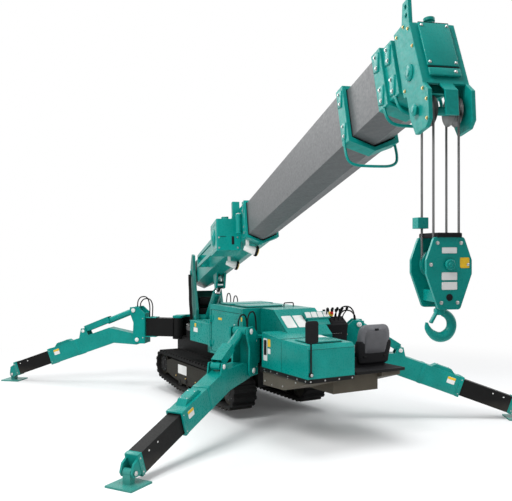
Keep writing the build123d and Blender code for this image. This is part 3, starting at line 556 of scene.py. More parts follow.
def caps(name, body, places, material=STEEL):
    """Round caps with a raised middle at points, each with its axis, radius and height."""
    mesh = bmesh.new()
    for point, axis, radius, height in places:
        place = axis_frame(point, axis)
        edge = 0.55 * height
        rim = [(CAP_SUNK, edge, radius, radius), (edge, height, radius, 0.82 * radius)]
        add_cones(mesh, place, FINE_ROUND, rim)
        add_cones(mesh, place, ROUND, [(height, 1.5 * height, 0.45 * radius, 0.38 * radius)])
    add_mesh(name, mesh, body, material)


def plate(name, body, place, width, height, material=WHITE, thick=SIGN_THICK):
    """A blank sign with rounded corners, on the frame's XY plane."""
    mesh = bmesh.new()
    corner = SIGN_CORNER * min(width, height)
    add_box(mesh, place, (width, height, thick), corner, segments=4, upright_only=True)
    add_mesh(name, mesh, body, material)


def tube(name, body, points, radius, material=HOSE):
    """A fixed pipe along a smooth line through row points."""
    curve = bpy.data.curves.new(name, "CURVE")
    curve.dimensions = "3D"
    curve.bevel_depth = radius
    curve.bevel_resolution = 4
    curve.use_fill_caps = True
    spline = curve.splines.new("NURBS")
    spline.points.add(len(points) - 1)
    for target, point in zip(spline.points, points):
        target.co = (*point, 1)
    spline.order_u = 3
    spline.use_endpoint_u = True
    spline.resolution_u = 8
    return add_piece(name, curve, body, material)


def strip(name, body, frame_at, boxes, material=PLASTIC, bevel=STRIP_BEVEL, segments=2):
    """Boxes as one piece, each with its middle in the frame and its size."""
    mesh = bmesh.new()
    for middle, size in boxes:
        add_box(mesh, moved(frame_at, *middle), size, bevel, segments)
    add_mesh(name, mesh, body, material)


def body_strip(name, boxes, material=PLASTIC, bevel=STRIP_BEVEL):
    """Boxes on the chassis, in the design frame."""
    strip(name, "chassis", ROW, boxes, material, bevel)


def oval(centre, half_x, half_y, power, sides=28):
    """A ring of points round a centre, between an oval and a rectangle."""
    ring = []
    for cosine, sine in circle(sides):
        x = math.copysign(abs(cosine) ** (2 / power), cosine)
        y = math.copysign(abs(sine) ** (2 / power), sine)
        ring.append((centre[0] + half_x * MM * x, centre[1] + half_y * MM * y, centre[2]))
    return ring


def standing_oval(centre, half_z, half_y, power):
    """The same ring on an upright plane across the machine."""
    flat = oval((0, 0, 0), half_z, half_y, power)
    return [(centre.x, centre.y + y, centre.z + z) for z, y, _ in flat]


def add_skin(mesh, rings):
    """A closed form through rings of points."""
    made = [[mesh.verts.new(point) for point in ring] for ring in rings]
    for lower, upper in zip(made, made[1:]):
        for k in range(len(lower)):
            n = (k + 1) % len(lower)
            mesh.faces.new((lower[k], lower[n], upper[n], upper[k]))
    mesh.faces.new(list(reversed(made[0])))
    mesh.faces.new(made[-1])


def loft(name, body, rings, material):
    mesh = bmesh.new()
    add_skin(mesh, rings)
    bmesh.ops.recalc_face_normals(mesh, faces=mesh.faces)
    return add_mesh(name, mesh, body, material)


# Hoist rope: the falls stretch between the head and the block
FALL_OUT = 58
FALL_Y = 60
ROPE_RADIUS = 0.0055
ROPE_RINGS = 24
ROPE_SIDES = 10


def hoist_falls():
    low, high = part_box("hoist_rope")
    middle = (low + high) / 2
    mesh = bmesh.new()
    heights = [low.z + (high.z - low.z) * i / ROPE_RINGS for i in range(ROPE_RINGS + 1)]
    around = [(ROPE_RADIUS * cosine, ROPE_RADIUS * sine) for cosine, sine in circle(ROPE_SIDES)]
    for x in (-FALL_OUT, FALL_OUT):
        for y in (-FALL_Y, FALL_Y):
            foot = middle + heading_of(COLUMN, x, y, 0) * MM
            add_skin(mesh, [[(foot.x + a, foot.y + b, z) for a, b in around] for z in heights])
    piece = show("hoist_falls", mesh_data("hoist_falls", mesh), ROPE)
    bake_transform(piece)
    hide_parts("hoist_rope")


# Boom collars, rope guides and lamps
COLLAR = 14
PAD_SIZE = (62, 96, 12)
PAD_HEIGHTS = (0.66, -0.62)
PAD_BOLT = 30
GUIDE_HALF = dict(zip(SLIDING, (128, 104, 90)))
GUIDE_LOW = dict(zip(SLIDING, (-305, -252, -234)))
GUIDE_RADIUS = 0.008
LAMPS = ((3110, -262), (4240, -268))
LAMP_SIDE = -150
LAMP_OUT = (0, 0.966, -0.259)
LAMP_REACH = 131
LAMP_RIM = ((-16, 6, 54, 54), (6, 11, 54, 49))
LAMP_GLASS = ((10, 17, 45, 42), (17, 21, 42, 26))
LAMP_SIDES = 40


def collar_fittings(name):
    """Bolted wear pad covers on both sides of a section's leaning end."""
    face = SECTION_WIDTH[name] / 2 + COLLAR
    pads = bmesh.new()
    spots = []
    for share in PAD_HEIGHTS:
        height = share * SECTION_SIDE[name] / 2
        x = SECTION_END[name] - COLLAR_LENGTH / 2 - LEAN * height
        for y, out in both_sides(BOOM):
            place = face_frame(inside(BOOM, x, y * face, height), heading_of(BOOM, 1, 0, -LEAN), out)
            add_box(pads, place, PAD_SIZE)
        spots += [(x - LEAN * step, height + step) for step in (-PAD_BOLT, PAD_BOLT)]
    add_mesh(name + "_pads", pads, name, TEAL)
    bolts(name + "_bolts", name, side_places(BOOM, face + PAD_SIZE[2] / 2, spots, 10))


def rope_guide(name):
    """The bent bar that keeps the rope under a section."""
    x = SECTION_END[name] - 40
    half = GUIDE_HALF[name]
    low = GUIDE_LOW[name]
    root = -SECTION_SIDE[name] / 2 + 20
    points = [
        (x, -half - 20, root), (x + 30, -half - 30, low + 60), (x + 40, -half, low), (x + 42, 0, low - 4),
        (x + 40, half, low), (x + 30, half + 30, low + 60), (x, half + 20, root),
    ]
    tube(name + "_guide", name, [inside(BOOM, *point) for point in points], GUIDE_RADIUS, TEAL)


def lamp_lenses():
    rims = bmesh.new()
    glass = bmesh.new()
    out = heading_of(BOOM, *LAMP_OUT)
    for x, z in LAMPS:
        place = axis_frame(inside(BOOM, x, LAMP_SIDE, z) + out * LAMP_REACH * MM, out)
        add_cones(rims, place, LAMP_SIDES, LAMP_RIM)
        add_cones(glass, place, LAMP_SIDES, LAMP_GLASS)
    add_mesh("lamp_rims", rims, "boom_base", PLASTIC)
    add_mesh("lamp_lenses", glass, "boom_base", AMBER)


# Boom head: places are X and Z along the boom
HEAD_FACE = 110
HEAD_BOLTS = (
    (8062, 132), (8140, 148), (8188, 118), (8222, 20),
    (8115, -155), (8296, -210), (8326, -268), (8316, -352),
)
HEAD_PIN = (8225, -285)
HEAD_PIN_RISE = 12
HEAD_BOSS = (8178, -90)
COVER_MIDDLE = (8253, 0, 8)
COVER_OUT = (0.96, 0, 0.28)
COVER_LIDS = (((0, 10, 2), (152, 245, 10)), ((0, -145, 2), (152, 42, 12)))
COVER_SEAMS = (((0, 134, 3), (150, 4, 6)), ((0, -119, 3), (150, 5, 6)))


def head_fittings():
    bolts("head_bolts", "boom_tip", side_places(BOOM, HEAD_FACE, HEAD_BOLTS, 8), BRASS)
    pins = side_places(BOOM, HEAD_FACE + HEAD_PIN_RISE, [HEAD_PIN], 27, 7)
    pins += side_places(BOOM, HEAD_FACE, [HEAD_BOSS], 38, 9)
    caps("head_pin_caps", "boom_tip", pins, TEAL)
    out = heading_of(BOOM, *COVER_OUT)
    cover = face_frame(inside(BOOM, *COVER_MIDDLE), heading_of(BOOM, *LEFT), out)
    strip("head_hatch", "boom_tip", cover, COVER_LIDS, TEAL, bevel=4)
    spots = [(inside(cover, x, y, 7), out, 7) for x in (-62, 62) for y in (-95, 115)]
    spots.append((inside(cover, 50, -145, 8), out, 8))
    bolts("head_hatch_bolts", "boom_tip", spots)
    strip("head_seams", "boom_tip", cover, COVER_SEAMS)


# Winch case and the can beside it, in the boom's frame
WINCH_FACE = 4050
WINCH_SIDE = -395
WINCH_SLOT = (((0, 0, 0), (6, 26, 84)), ((0, -100, 40), (6, 60, 4)))
CAN = (4180, -186, -112)
CAN_STEPS = ((0, 190, 30, 30), (190, 200, 30, 22))
CAN_BRACKET = (4180, -160, -20)


def winch_fittings():
    out = heading_of(BOOM, 1, 0, 0)
    side = heading_of(BOOM, *RIGHT)
    up = heading_of(BOOM, *UP)
    places = [(inside(BOOM, WINCH_FACE, y, z), out, 9) for y in (-372, -178) for z in (-236, -130)]
    for x in (3650, 3790, 3900, 4010):
        places += [(inside(BOOM, x, WINCH_SIDE, z), side, 9) for z in (-230, 30)]
    bolts("winch_bolts", "boom_base", places)
    caps("winch_side_cap", "boom_base", [(inside(BOOM, 3830, WINCH_SIDE, -100), side, 88, 16)], TEAL)
    caps("winch_top_cap", "boom_base", [(inside(BOOM, 3825, -270, 124), up, 40, 8)], WHITE)
    strip("winch_slot", "boom_base", moved(BOOM, WINCH_FACE, -228, -160), WINCH_SLOT)
    can = bmesh.new()
    foot = axis_frame(inside(BOOM, *CAN), up)
    add_cones(can, foot, 28, CAN_STEPS)
    add_box(can, moved(BOOM, *CAN_BRACKET), (30, 30, 140))
    add_mesh("boom_side_can", can, "boom_base", TEAL)
    caps("boom_side_can_cap", "boom_base", [(inside(foot, 0, 0, CAN_STEPS[-1][1]), up, 26, 5)], WHITE)


# Body panels
BODY_SIDE = 690
BODY_REAR = -3800
HOOD_TOP = 1420
REAR_TOP = 1140
SLOPE_OUT = (-0.614, 0, 0.789)
SEAM = 4
SEAM_BEVEL = 0.6
TRIM_BOLT = 9
SKIRT_SIDE = 670
SKIRT_BOLTS = (
    (-2900, 640), (-3060, 620), (-3280, 640), (-3540, 720), (-2900, 745), (-3120, 745), (-3380, 745),
)
TANK_SLOTS = 8
HOOD_VENTS = 9
HANDLE_RADIUS = 0.007


def side_frame(x, z, lift=0):
    """A frame on the left side of the body."""
    return face_frame(at(x, BODY_SIDE + lift, z), REAR, LEFT)


def side_sign(name, x, z, width, height, material=WHITE, lift=0):
    plate(name, "chassis", side_frame(x, z, lift), width, height, material)


def upright_seams(name, xs, low, high):
    """Dark panel gaps down the left side."""
    boxes = [((x, BODY_SIDE, (low + high) / 2), (SEAM, 2, high - low)) for x in xs]
    body_strip(name, boxes, bevel=SEAM_BEVEL)


def body_seams():
    upright_seams("hood_side_seams", (-1520, -2370), 800, 1400)
    upright_seams("rear_side_seal", (-3284,), 795, 1120)
    body_strip("rear_top_seal", [
        ((-3284, 395, REAR_TOP + 10), (12, 588, 6)), ((BODY_REAR + 4, 392, REAR_TOP - 46), (10, 590, 3))])
    lines = [((-1950, 270, HOOD_TOP), (3, 820, 2)), ((-2402, 145, HOOD_TOP), (SEAM, 580, 3))]
    body_strip("hood_top_seams", lines, bevel=SEAM_BEVEL)
    low_edge = [
        ((-3330, BODY_SIDE - 8, 772), (930, 20, 44)), ((BODY_REAR + 6, 395, 772), (20, 586, 44)),
        ((BODY_REAR - 4, -260, 806), (18, 670, 34)),
    ]
    body_strip("lower_trim", low_edge, BLACK_PAINT, bevel=4)
    side_row = (-2920, -3060, -3200, -3420, -3600, -3760)
    spots = [(at(x, BODY_SIDE + 2, 770), LEFT, TRIM_BOLT) for x in side_row]
    spots += [(at(BODY_REAR - 4, y, 770), REAR, TRIM_BOLT) for y in (660, 480, 300, 130)]
    bolts("lower_trim_bolts", "chassis", spots)
    bolts("skirt_bolts", "chassis", [(at(x, SKIRT_SIDE, z), LEFT, TRIM_BOLT) for x, z in SKIRT_BOLTS])


def hatch(name, place, width, depth):
    """A raised lid with a rolled edge over a dark seal."""
    strip(name + "_lid", "chassis", place, [((0, 0, 12), (width, depth, 18))], TEAL, bevel=6, segments=3)
    strip(name + "_seal", "chassis", place, [((0, 0, 2), (width + 12, depth + 12, 6))], bevel=2)


def handle(name, start, end, lift):
    """A bent grab bar between two points."""
    bar = [start.lerp(end, share) + lift for share in (0.15, 0.85)]
    points = [start, start + lift * 0.9, *bar, end + lift * 0.9, end]
    tube(name, "chassis", points, HANDLE_RADIUS, PLASTIC)


def body_plates():
    hatch("hood_hatch", moved(ROW, -2150, 330, HOOD_TOP), 340, 500)
    hatch("hood_front_hatch", moved(ROW, -1740, 270, HOOD_TOP), 300, 620)
    hatch("rear_hatch", moved(ROW, -3560, 400, REAR_TOP + 2), 300, 400)
    handle("hood_handle", at(-2340, 70, HOOD_TOP), at(-2340, -70, HOOD_TOP), Vector((0, 0, 45)) * MM)
    for k, y in enumerate((330, 175)):
        place = face_frame(at(-2872, y, 1287), RIGHT, SLOPE_OUT)
        plate("slope_plate_%d" % k, "chassis", place, 135, 200, thick=4)
    top = face_frame(at(-3390, 190, REAR_TOP + 8), (1, 0, 0), (-0.07, 0, 1))
    plate("rear_top_plate", "chassis", top, 340, 100, thick=4)
    side_sign("side_label_back", x=-2940, z=1000, width=85, height=250)
    side_sign("side_label_dark", x=-2940, z=1022, width=60, height=170, material=PLASTIC, lift=1.5)
    side_sign("side_label_yellow", x=-3022, z=1080, width=60, height=85, material=YELLOW)
    side_sign("side_label_small", x=-3022, z=990, width=60, height=60)
    side_sign("door_label", x=-2376, z=1290, width=30, height=50, material=YELLOW)
    side_sign("tool_label", x=-1050, z=1105, width=50, height=50, material=YELLOW)
    side_sign("tool_label_low", x=-1060, z=1040, width=130, height=60)
    plate("tool_front_label", "chassis", face_frame(at(-880, 560, 1000), LEFT, (1, 0, 0)), 90, 190)
    lid = [((-1185, 555, 1152), (612, 276, 10)), ((-1185, BODY_SIDE + 2, 1128), (120, 10, 36))]
    body_strip("tool_box_lid", lid, TEAL, bevel=4)
    tank = [((-1600, -495, 1214), (1380, 370, 10)), ((-1600, -BODY_SIDE - 1, 1000), (1340, 4, 300))]
    body_strip("side_tank_panels", tank, TEAL, bevel=2)
    caps("tank_cap", "chassis", [(at(-1060, -480, 1218), UP, 62, 26)], PLASTIC)
    slots = [((-1380 - 48 * k, -BODY_SIDE - 4, 1040), (20, 6, 130)) for k in range(TANK_SLOTS)]
    body_strip("tank_grille", slots)
    vents = [((-1499, 60 + 44 * k, 1180), (6, 20, 220)) for k in range(HOOD_VENTS)]
    body_strip("hood_front_grille", vents)


def door_fittings():
    ribs = [((-1945, BODY_SIDE - 1, z), (700, 4, 8)) for z in (870, 1320)]
    ribs += [((x, BODY_SIDE - 1, 1095), (8, 4, 442)) for x in (-2300, -1590)]
    strip("door_ribs", "door", ROW, ribs, TEAL)
    plate("door_sign", "door", side_frame(-1800, 1250), 100, 30, YELLOW)
    caps("door_lock", "door", [(at(-2190, BODY_SIDE, 1200), LEFT, 16, 6)])


# Slewing ring and column
RING_BOLTS = 28
RING_BOLT_RADIUS = 318
RING_TOP = 984
CHEEK_FACE = 212
LUFF_PIN = (150, 1095)
COLUMN_PIPES = (-232, -246, -260)
PIPE_RADIUS = 0.009
VALVES = (((-150, 0, 1130), (200, 260, 200)), ((-190, 0, 1330), (150, 220, 120)))


def ring_bolts():
    turns = circle(RING_BOLTS)
    places = [(at(RING_BOLT_RADIUS * x, RING_BOLT_RADIUS * y, RING_TOP), UP, 11) for x, y in turns]
    bolts("ring_bolts", "chassis", places)


def column_fittings():
    pins = side_places(COLUMN, CHEEK_FACE + 1, [(BOOM_FOOT[0], BOOM_FOOT[2])], 62, 10)
    pins += side_places(COLUMN, CHEEK_FACE, [LUFF_PIN], 54, 10)
    caps("column_pin_caps", "column", pins, TEAL)
    for k, y in enumerate(COLUMN_PIPES):
        points = [
            (-60, y, 1010), (-70, y, 1160), (-150, y - 8, 1320), (-215, y, 1480), (-260, y - 4, 1620),
            (-300, y, 1740),
        ]
        tube("column_pipe_%d" % k, "column", [inside(COLUMN, *point) for point in points], PIPE_RADIUS)
    strip("column_valves", "column", COLUMN, VALVES, BLACK_PAINT, bevel=12, segments=3)
    back = heading_of(COLUMN, *REAR)
    spots = [(inside(COLUMN, -252, y, z), back, 14) for y in (-70, 0, 70) for z in (1090, 1170)]
    bolts("column_fittings", "column", spots, BRASS)


# Operator's place
CONSOLE_OUT = (-0.6, 0, 0.8)
BOARD_OUT = (-0.8, 0, 0.6)
BOARD_LABELS = 4
STOP_Y = -270
LEVER_ROWS = (-460, -400, -340, -280, -220)
LEVER_FAN = 12
LEVER_RADIUS = 0.007
GRIP_OUT = (-0.4, 0, 0.9)
GRIP_STEPS = ((-20, 12, 12, 18), (12, 26, 18, 11))
STEM_RADIUS = 0.012


def console_fittings():
    board = face_frame(at(-2862, -70, 1350), RIGHT, BOARD_OUT)
    mesh = bmesh.new()
    add_box(mesh, moved(board, 0, 0, -12), (360, 100, 28), 6, 3)
    add_box(mesh, moved(board, 0, -80, -20), (300, 100, 20), 5)
    add_mesh("control_board", mesh, "chassis", TEAL)
    for k in range(BOARD_LABELS):
        plate("board_label_%d" % k, "chassis", moved(board, -128 + 85 * k, 4, 3), 76, 76)
    stop = face_frame(at(-2862, STOP_Y, 1352), RIGHT, BOARD_OUT)
    out = heading_of(stop, *UP)
    caps("stop_base", "chassis", [(stop.translation, out, 34, 14)], YELLOW)
    caps("stop_knob", "chassis", [(inside(stop, 0, 0, 21), out, 21, 12)], RED)
    arm = [at(x, STOP_Y, z) for x, z in ((-2835, 1240), (-2840, 1300), (-2858, 1345))]
    tube("stop_stem", "chassis", arm, STEM_RADIUS, PLASTIC)
    knobs = bmesh.new()
    for k, y in enumerate(LEVER_ROWS):
        lean = LEVER_FAN * (k - len(LEVER_ROWS) // 2)
        stem = [(-2836, y, 1272), (-2850, y + 4, 1330), (-2880, y + lean, 1378), (-2896, y + lean, 1408)]
        tube("lever_%d" % k, "chassis", [at(*point) for point in stem], LEVER_RADIUS, PLASTIC)
        add_cones(knobs, axis_frame(at(*stem[-1]), GRIP_OUT), 20, GRIP_STEPS)
    add_mesh("lever_grips", knobs, "chassis", PLASTIC)
    gate = face_frame(at(-2842, -330, 1264), RIGHT, CONSOLE_OUT)
    plate("console_gate", "chassis", gate, 310, 75, PLASTIC, thick=6)
    low = face_frame(at(-2876, -330, 1150), RIGHT, (-1, 0, 0.16))
    plate("console_sign", "chassis", low, 200, 70)


# Seat rings: height, X, half depth and half width, or X, height, half height and half width for the cushion
SEAT_MIDDLE = -340
BACK_RINGS = (
    (932, -3528, 22, 196), (946, -3533, 38, 214), (1000, -3556, 46, 223), (1080, -3572, 49, 228),
    (1160, -3580, 50, 227), (1225, -3587, 48, 216), (1266, -3593, 42, 196), (1290, -3597, 33, 168),
    (1303, -3600, 18, 130),
)
CUSHION_RINGS = (
    (-3528, 958, 14, 186), (-3516, 966, 26, 206), (-3440, 970, 36, 222), (-3320, 974, 38, 228),
    (-3210, 976, 37, 226), (-3160, 970, 31, 214), (-3144, 962, 18, 190),
)
PANEL_RINGS = (
    (968, -3565, 40, 118), (978, -3570, 44, 150), (1060, -3586, 50, 158), (1150, -3595, 52, 160),
    (1205, -3600, 51, 154), (1222, -3602, 46, 138),
)
WING_RINGS = (
    (852, -3560, 24, 188), (870, -3562, 38, 206), (934, -3556, 46, 220), (1010, -3564, 49, 234),
    (1075, -3575, 50, 236), (1108, -3579, 44, 228),
)

# Filling out the seat pads, in metres
PAD_VOXEL = 0.008
PAD_SLACK = 0.004
SWELL_FRAMES = 20
SWELL_PRESSURE = 4.0
SWELL_CAP = 0.009


def apply_modifiers(piece):
    """Leaves the piece with the mesh that its modifiers give, and none of them."""
    shown = piece.evaluated_get(bpy.context.evaluated_depsgraph_get())
    mesh = bpy.data.meshes.new_from_object(shown)
    piece.modifiers.clear()
    piece.data = mesh


def smooth(piece):
    piece.modifiers.new("smooth", "SUBSURF").levels = 1


def swell(pad):
    """Fills a pad out by cloth pressure, from a slightly smaller form, each point held near its start."""
    shrunk = [vertex.co - vertex.normal * PAD_SLACK for vertex in pad.data.vertices]
    for vertex, place in zip(pad.data.vertices, shrunk):
        vertex.co = place
    remesh = pad.modifiers.new("voxels", "REMESH")
    remesh.mode = "VOXEL"
    remesh.voxel_size = PAD_VOXEL
    remesh.use_smooth_shade = True
    apply_modifiers(pad)
    start = [vertex.co.copy() for vertex in pad.data.vertices]
    cloth = pad.modifiers.new("cloth", "CLOTH")
    cloth.settings.use_pressure = True
    cloth.settings.uniform_pressure_force = SWELL_PRESSURE
    cloth.settings.effector_weights.gravity = 0
    for step in range(1, SWELL_FRAMES + 1):
        bpy.context.scene.frame_set(step)
    apply_modifiers(pad)
    bpy.context.scene.frame_set(1)
    for vertex, place in zip(pad.data.vertices, start):
        travel = vertex.co - place
        if travel.length > SWELL_CAP:
            vertex.co = place + travel.normalized() * SWELL_CAP
    smooth(pad)


def seat_form():
    """Moulded vinyl seat: crowned back and cushion, a rear panel and lower wings."""
    def level_rings(rows, power):
        return [oval(at(x, SEAT_MIDDLE, z), depth, half, power) for z, x, depth, half in rows]

    back = loft("seat_back", "chassis", level_rings(BACK_RINGS, 5.0), SEAT)
    rings = [standing_oval(at(x, SEAT_MIDDLE, z), thick, half, 3.2) for x, z, thick, half in CUSHION_RINGS]
    cushion = loft("seat_cushion", "chassis", rings, SEAT)
    for pad in (back, cushion):
        smooth(pad)
        apply_modifiers(pad)
        swell(pad)
    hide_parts("seat")
    loft("seat_rear_panel", "chassis", level_rings(PANEL_RINGS, 6.0), SEAT_PANEL)
    loft("seat_wings", "chassis", level_rings(WING_RINGS, 5.0), PLASTIC)
    latch = face_frame(at(-3638, SEAT_MIDDLE, 1236), RIGHT, (-1, 0, 0.1))
    plate("seat_latch", "chassis", latch, 50, 22, PLASTIC, thick=12)
    rails = [((-3400, y, 936), (420, 34, 22)) for y in (-480, -200)]
    body_strip("seat_rails", rails, BLACK_PAINT, bevel=4)


# Mirror rings: distance to the rear, half width and half height
MIRROR_AT = (-3816, 660, 1280)
MIRROR_RINGS = ((20, 71, 114), (27, 68, 111), (32, 58, 100), (34, 40, 82))
MIRROR_CLAMP = 840


def mirror_fittings():
    x, y, z = MIRROR_AT
    shell = [standing_oval(at(x - out, y, z), tall, half, 6.0) for out, half, tall in MIRROR_RINGS]
    loft("mirror_shell", "chassis", shell, PLASTIC)
    glass = face_frame(at(x + 5, y, z), LEFT, (1, 0, 0))
    plate("mirror_glass", "chassis", glass, 126, 210, MIRROR, thick=4)
    caps("mirror_clamp", "chassis", [(at(x - 7, y, MIRROR_CLAMP), REAR, 16, 8)])


# Outrigger fittings
YOKE_FACE = 122
YOKE_PIN_RISE = 14
YOKE_BOLTS = ((-92, 30), (-92, 330), (64, 452))
YOKE_TOP = 1070
ARM_FACE = 92
INNER_FACE = 74
ARM_HALF_DEPTH = 125
INNER_HALF_DEPTH = 105
BAND_PLACES = (-24, -520)
LABEL_AT = -150
COLLAR_BACK = 20
FOOT_PIN = 82
DOTS = ((400, 60), (540, 60))
LEG_BOLT = 8
HOSE_RADIUS = 0.009
HOSE_LOOPS = ((-62, 1360), (62, 1400))
PLATE_LEVELS = (1077, 783)
PLATE_WIDTHS = ((452, 200), (380, 168))


def leg_pins(leg):
    pair = pair_of(leg)
    straight = leg_frame(leg)

    def from_pivot(places):
        return [(REACH[pair] + x, ARM_PIVOT + z) for x, z in places]

    yoke_pins = side_places(straight, YOKE_FACE + YOKE_PIN_RISE, from_pivot([(0, 0), TOP_PIN]), 32, 7)
    caps(leg + "_yoke_caps", leg + "_yoke", yoke_pins, WHITE)
    lug_pins = side_places(straight, ARM_FACE, from_pivot([ARM_LUG[pair]]), 26, 8)
    caps(leg + "_lug_caps", leg + "_arm", lug_pins, WHITE)
    caps(leg + "_swing_cap", leg + "_yoke", [(inside(straight, 0, 0, YOKE_TOP), UP, 66, 6)], TEAL)
    spots = side_places(straight, YOKE_FACE, from_pivot(YOKE_BOLTS), LEG_BOLT)
    bolts(leg + "_yoke_bolts", leg + "_yoke", spots)


def hoop(x, face, half_depth, length, thick, tall, wide):
    """The boxes of a band round an arm, each with its middle and size."""
    sides = [((x, y * face, 0), (length, thick, tall)) for y in (-1, 1)]
    return sides + [((x, 0, z * half_depth), (length, wide, thick)) for z in (-1, 1)]


def arm_fittings(leg):
    sloping = arm_frame(leg)
    pair = pair_of(leg)
    arm = leg + "_arm"
    inner = leg + "_inner"
    bands = []
    for x in BAND_PLACES:
        bands += hoop(x, ARM_FACE + 2, ARM_HALF_DEPTH + 2, length=48, thick=6, tall=252, wide=188)
    strip(leg + "_bands", arm, sloping, bands, TEAL, bevel=2)
    top = heading_of(sloping, *UP)
    ears = [(x, y, ARM_HALF_DEPTH + 46) for x in (-340, -200) for y in (-40, 40)]
    spots = [(inside(sloping, *ear), top, LEG_BOLT) for ear in ears]
    spots += side_places(sloping, ARM_FACE + 4, [(BAND_PLACES[0], z) for z in (-90, 90)], LEG_BOLT)
    bolts(leg + "_arm_bolts", arm, spots)
    along = heading_of(sloping, 1, 0, 0)
    for y, out in both_sides(sloping):
        label = face_frame(inside(sloping, LABEL_AT, y * ARM_FACE, 40), along, out)
        plate(leg + "_label_%d" % (y + 1), arm, label, 100, 85)
        stripe = face_frame(inside(sloping, LABEL_AT, y * (ARM_FACE + 1.5), 65), along, out)
        plate(leg + "_stripe_%d" % (y + 1), arm, stripe, 100, 30, YELLOW)
    caps(inner + "_dots", inner, side_places(sloping, INNER_FACE, DOTS, 9, 3), WHITE)
    end = EXTENDED[pair]
    ring = end - COLLAR_BACK
    collar = hoop(ring, INNER_FACE + 3, INNER_HALF_DEPTH + 3, length=44, thick=8, tall=200, wide=154)
    strip(inner + "_collar", inner, sloping, collar, TEAL, bevel=3)
    ends = side_places(sloping, INNER_FACE + 7, [(ring, -70), (ring, 70)], LEG_BOLT)
    bolts(inner + "_bolts", inner, ends)
    pins = side_places(sloping, INNER_FACE + 10, [(end + FOOT_PIN, FOOT_DROP[pair])], 23, 6)
    caps(leg + "_foot_caps", inner, pins)


def hose(name, body, points):
    """A hose fixed at both ends."""
    piece = tube(name, body, points, HOSE_RADIUS)


def yoke_hoses(leg):
    """Two hose loops over the yoke, from its beam to its head."""
    straight = moved(leg_frame(leg), REACH[pair_of(leg)], 0, 0)
    for k, (y, high) in enumerate(HOSE_LOOPS):
        points = [
            (-180, y, 1062), (-185, y, 1150), (-190, y, 1260), (-150, y, high), (-40, y, high + 4),
            (10, y, high - 60), (16, y, 1280), (18, y, 1232),
        ]
        line = [inside(straight, *point) for point in points]
        hose(leg + "_hose_%d" % k, leg + "_yoke", line)


def yoke_plates(leg):
    """Plates above and below the beam of a long yoke."""
    boxes = [((x, 0, z), (100, width, 14)) for z in PLATE_LEVELS for x, width in PLATE_WIDTHS]
    strip(leg + "_yoke_plates", leg + "_yoke", leg_frame(leg), boxes, TEAL, bevel=3)


# Tracks: X, height and radius of the wheels
TRACKS = {"track_left": 1, "track_right": -1}
WHEELS = ((190, 402, 120), (-1960, 350, 130), (-430, 235, 70))
ROLLERS = (-1620, -1300, -980, -660)
WHEEL_FACE = 637
FRAME_FACE = 653
HUB_BOLTS = 8
HUB_BOLT_RADIUS = 0.8


def track_fittings(name, side):
    out = (0, side, 0)
    hubs = [(at(x, side * WHEEL_FACE, z), out, radius, 14) for x, z, radius in WHEELS]
    hubs += [(at(x, side * FRAME_FACE, 262), out, 34, 10) for x in ROLLERS]
    caps(name + "_hubs", "chassis", hubs, BLACK_PAINT)
    spots = []
    for x, z, radius in WHEELS:
        ring = HUB_BOLT_RADIUS * radius
        for cosine, sine in circle(HUB_BOLTS):
            spots.append((at(x + ring * cosine, side * (WHEEL_FACE + 9), z + ring * sine), out, 8))
    bolts(name + "_hub_bolts", "chassis", spots, CAST)
    lower = [(at(x, side * FRAME_FACE, 300), out, 13) for x in (-300, -640, -980)]
    bolts(name + "_side_bolts", "chassis", lower, BRASS)
    place = face_frame(at(-520, side * FRAME_FACE, 410), (-side, 0, 0), out)
    plate(name + "_sign", "chassis", place, 300, 130)


# Hook block: bolts across and below its top, signs with their size and material
BLOCK_TOP = 2165
BLOCK_FACE = 88
BLOCK_BOLTS = ((-55, -26), (55, -26), (-86, -120), (86, -120), (-38, -285), (38, -285))
BLOCK_SIGNS = {
    "top": (0, -58, 70, 26, WHITE),
    "yellow": (72, -112, 44, 46, YELLOW),
    "white": (0, -170, 72, 34, WHITE),
    "low": (0, -212, 72, 34, WHITE),
}


def block_fittings():
    block = moved(upright(floor_middle("hook_block"), BOOM_HEADING - 90), 0, 0, BLOCK_TOP)
    bumper = [((0, 0, 8), (116, 192, 22))]
    strip("block_bumper", "hook_block", block, bumper, bevel=6, segments=3)
    for side, out in both_sides(block):
        for name, (x, z, width, height, material) in BLOCK_SIGNS.items():
            point = inside(block, -side * x, side * BLOCK_FACE, z)
            face = face_frame(point, heading_of(block, -side, 0, 0), out)
            plate("block_%s_%d" % (name, side + 1), "hook_block", face, width, height, material)
    caps("block_pin_caps", "hook_block", side_places(block, BLOCK_FACE + 8, [(0, -120)], 24, 8), TEAL)
    caps("block_eyes", "hook_block", side_places(block, BLOCK_FACE, [(0, -262)], 15, 3), PLASTIC)
    bolts("block_bolts", "hook_block", side_places(block, BLOCK_FACE, BLOCK_BOLTS, 8))


# Hook: the thickness is given by the share of the way round
HOOK_CENTRE = 1776
HOOK_RADIUS = 55
HOOK_STEPS = 40
HOOK_START = 78
HOOK_TURN = -268
HOOK_SIDES = 20
HOOK_FLAT = 0.85
HOOK_THICK = ((0.0, 17), (0.25, 22), (0.5, 25), (0.75, 21), (0.92, 14), (1.0, 6))
TIP_FROM = 0.8
TIP_FLARE = 10
SHANK_FOOT = 44
SHANK_STEPS = ((0, 30, 21, 21), (30, 115, 21.5, 21.5))
NUT_STEPS = ((110.5, 130, 37, 37), (130, 136, 37, 28))
LATCH_TOP = Vector((0, -14, 62))
LATCH_TIP = Vector((0, -46, 8))


def hook_thickness(share):
    for (s0, r0), (s1, r1) in zip(HOOK_THICK, HOOK_THICK[1:]):
        if share <= s1:
            return r0 + (r1 - r0) * (share - s0) / (s1 - s0)


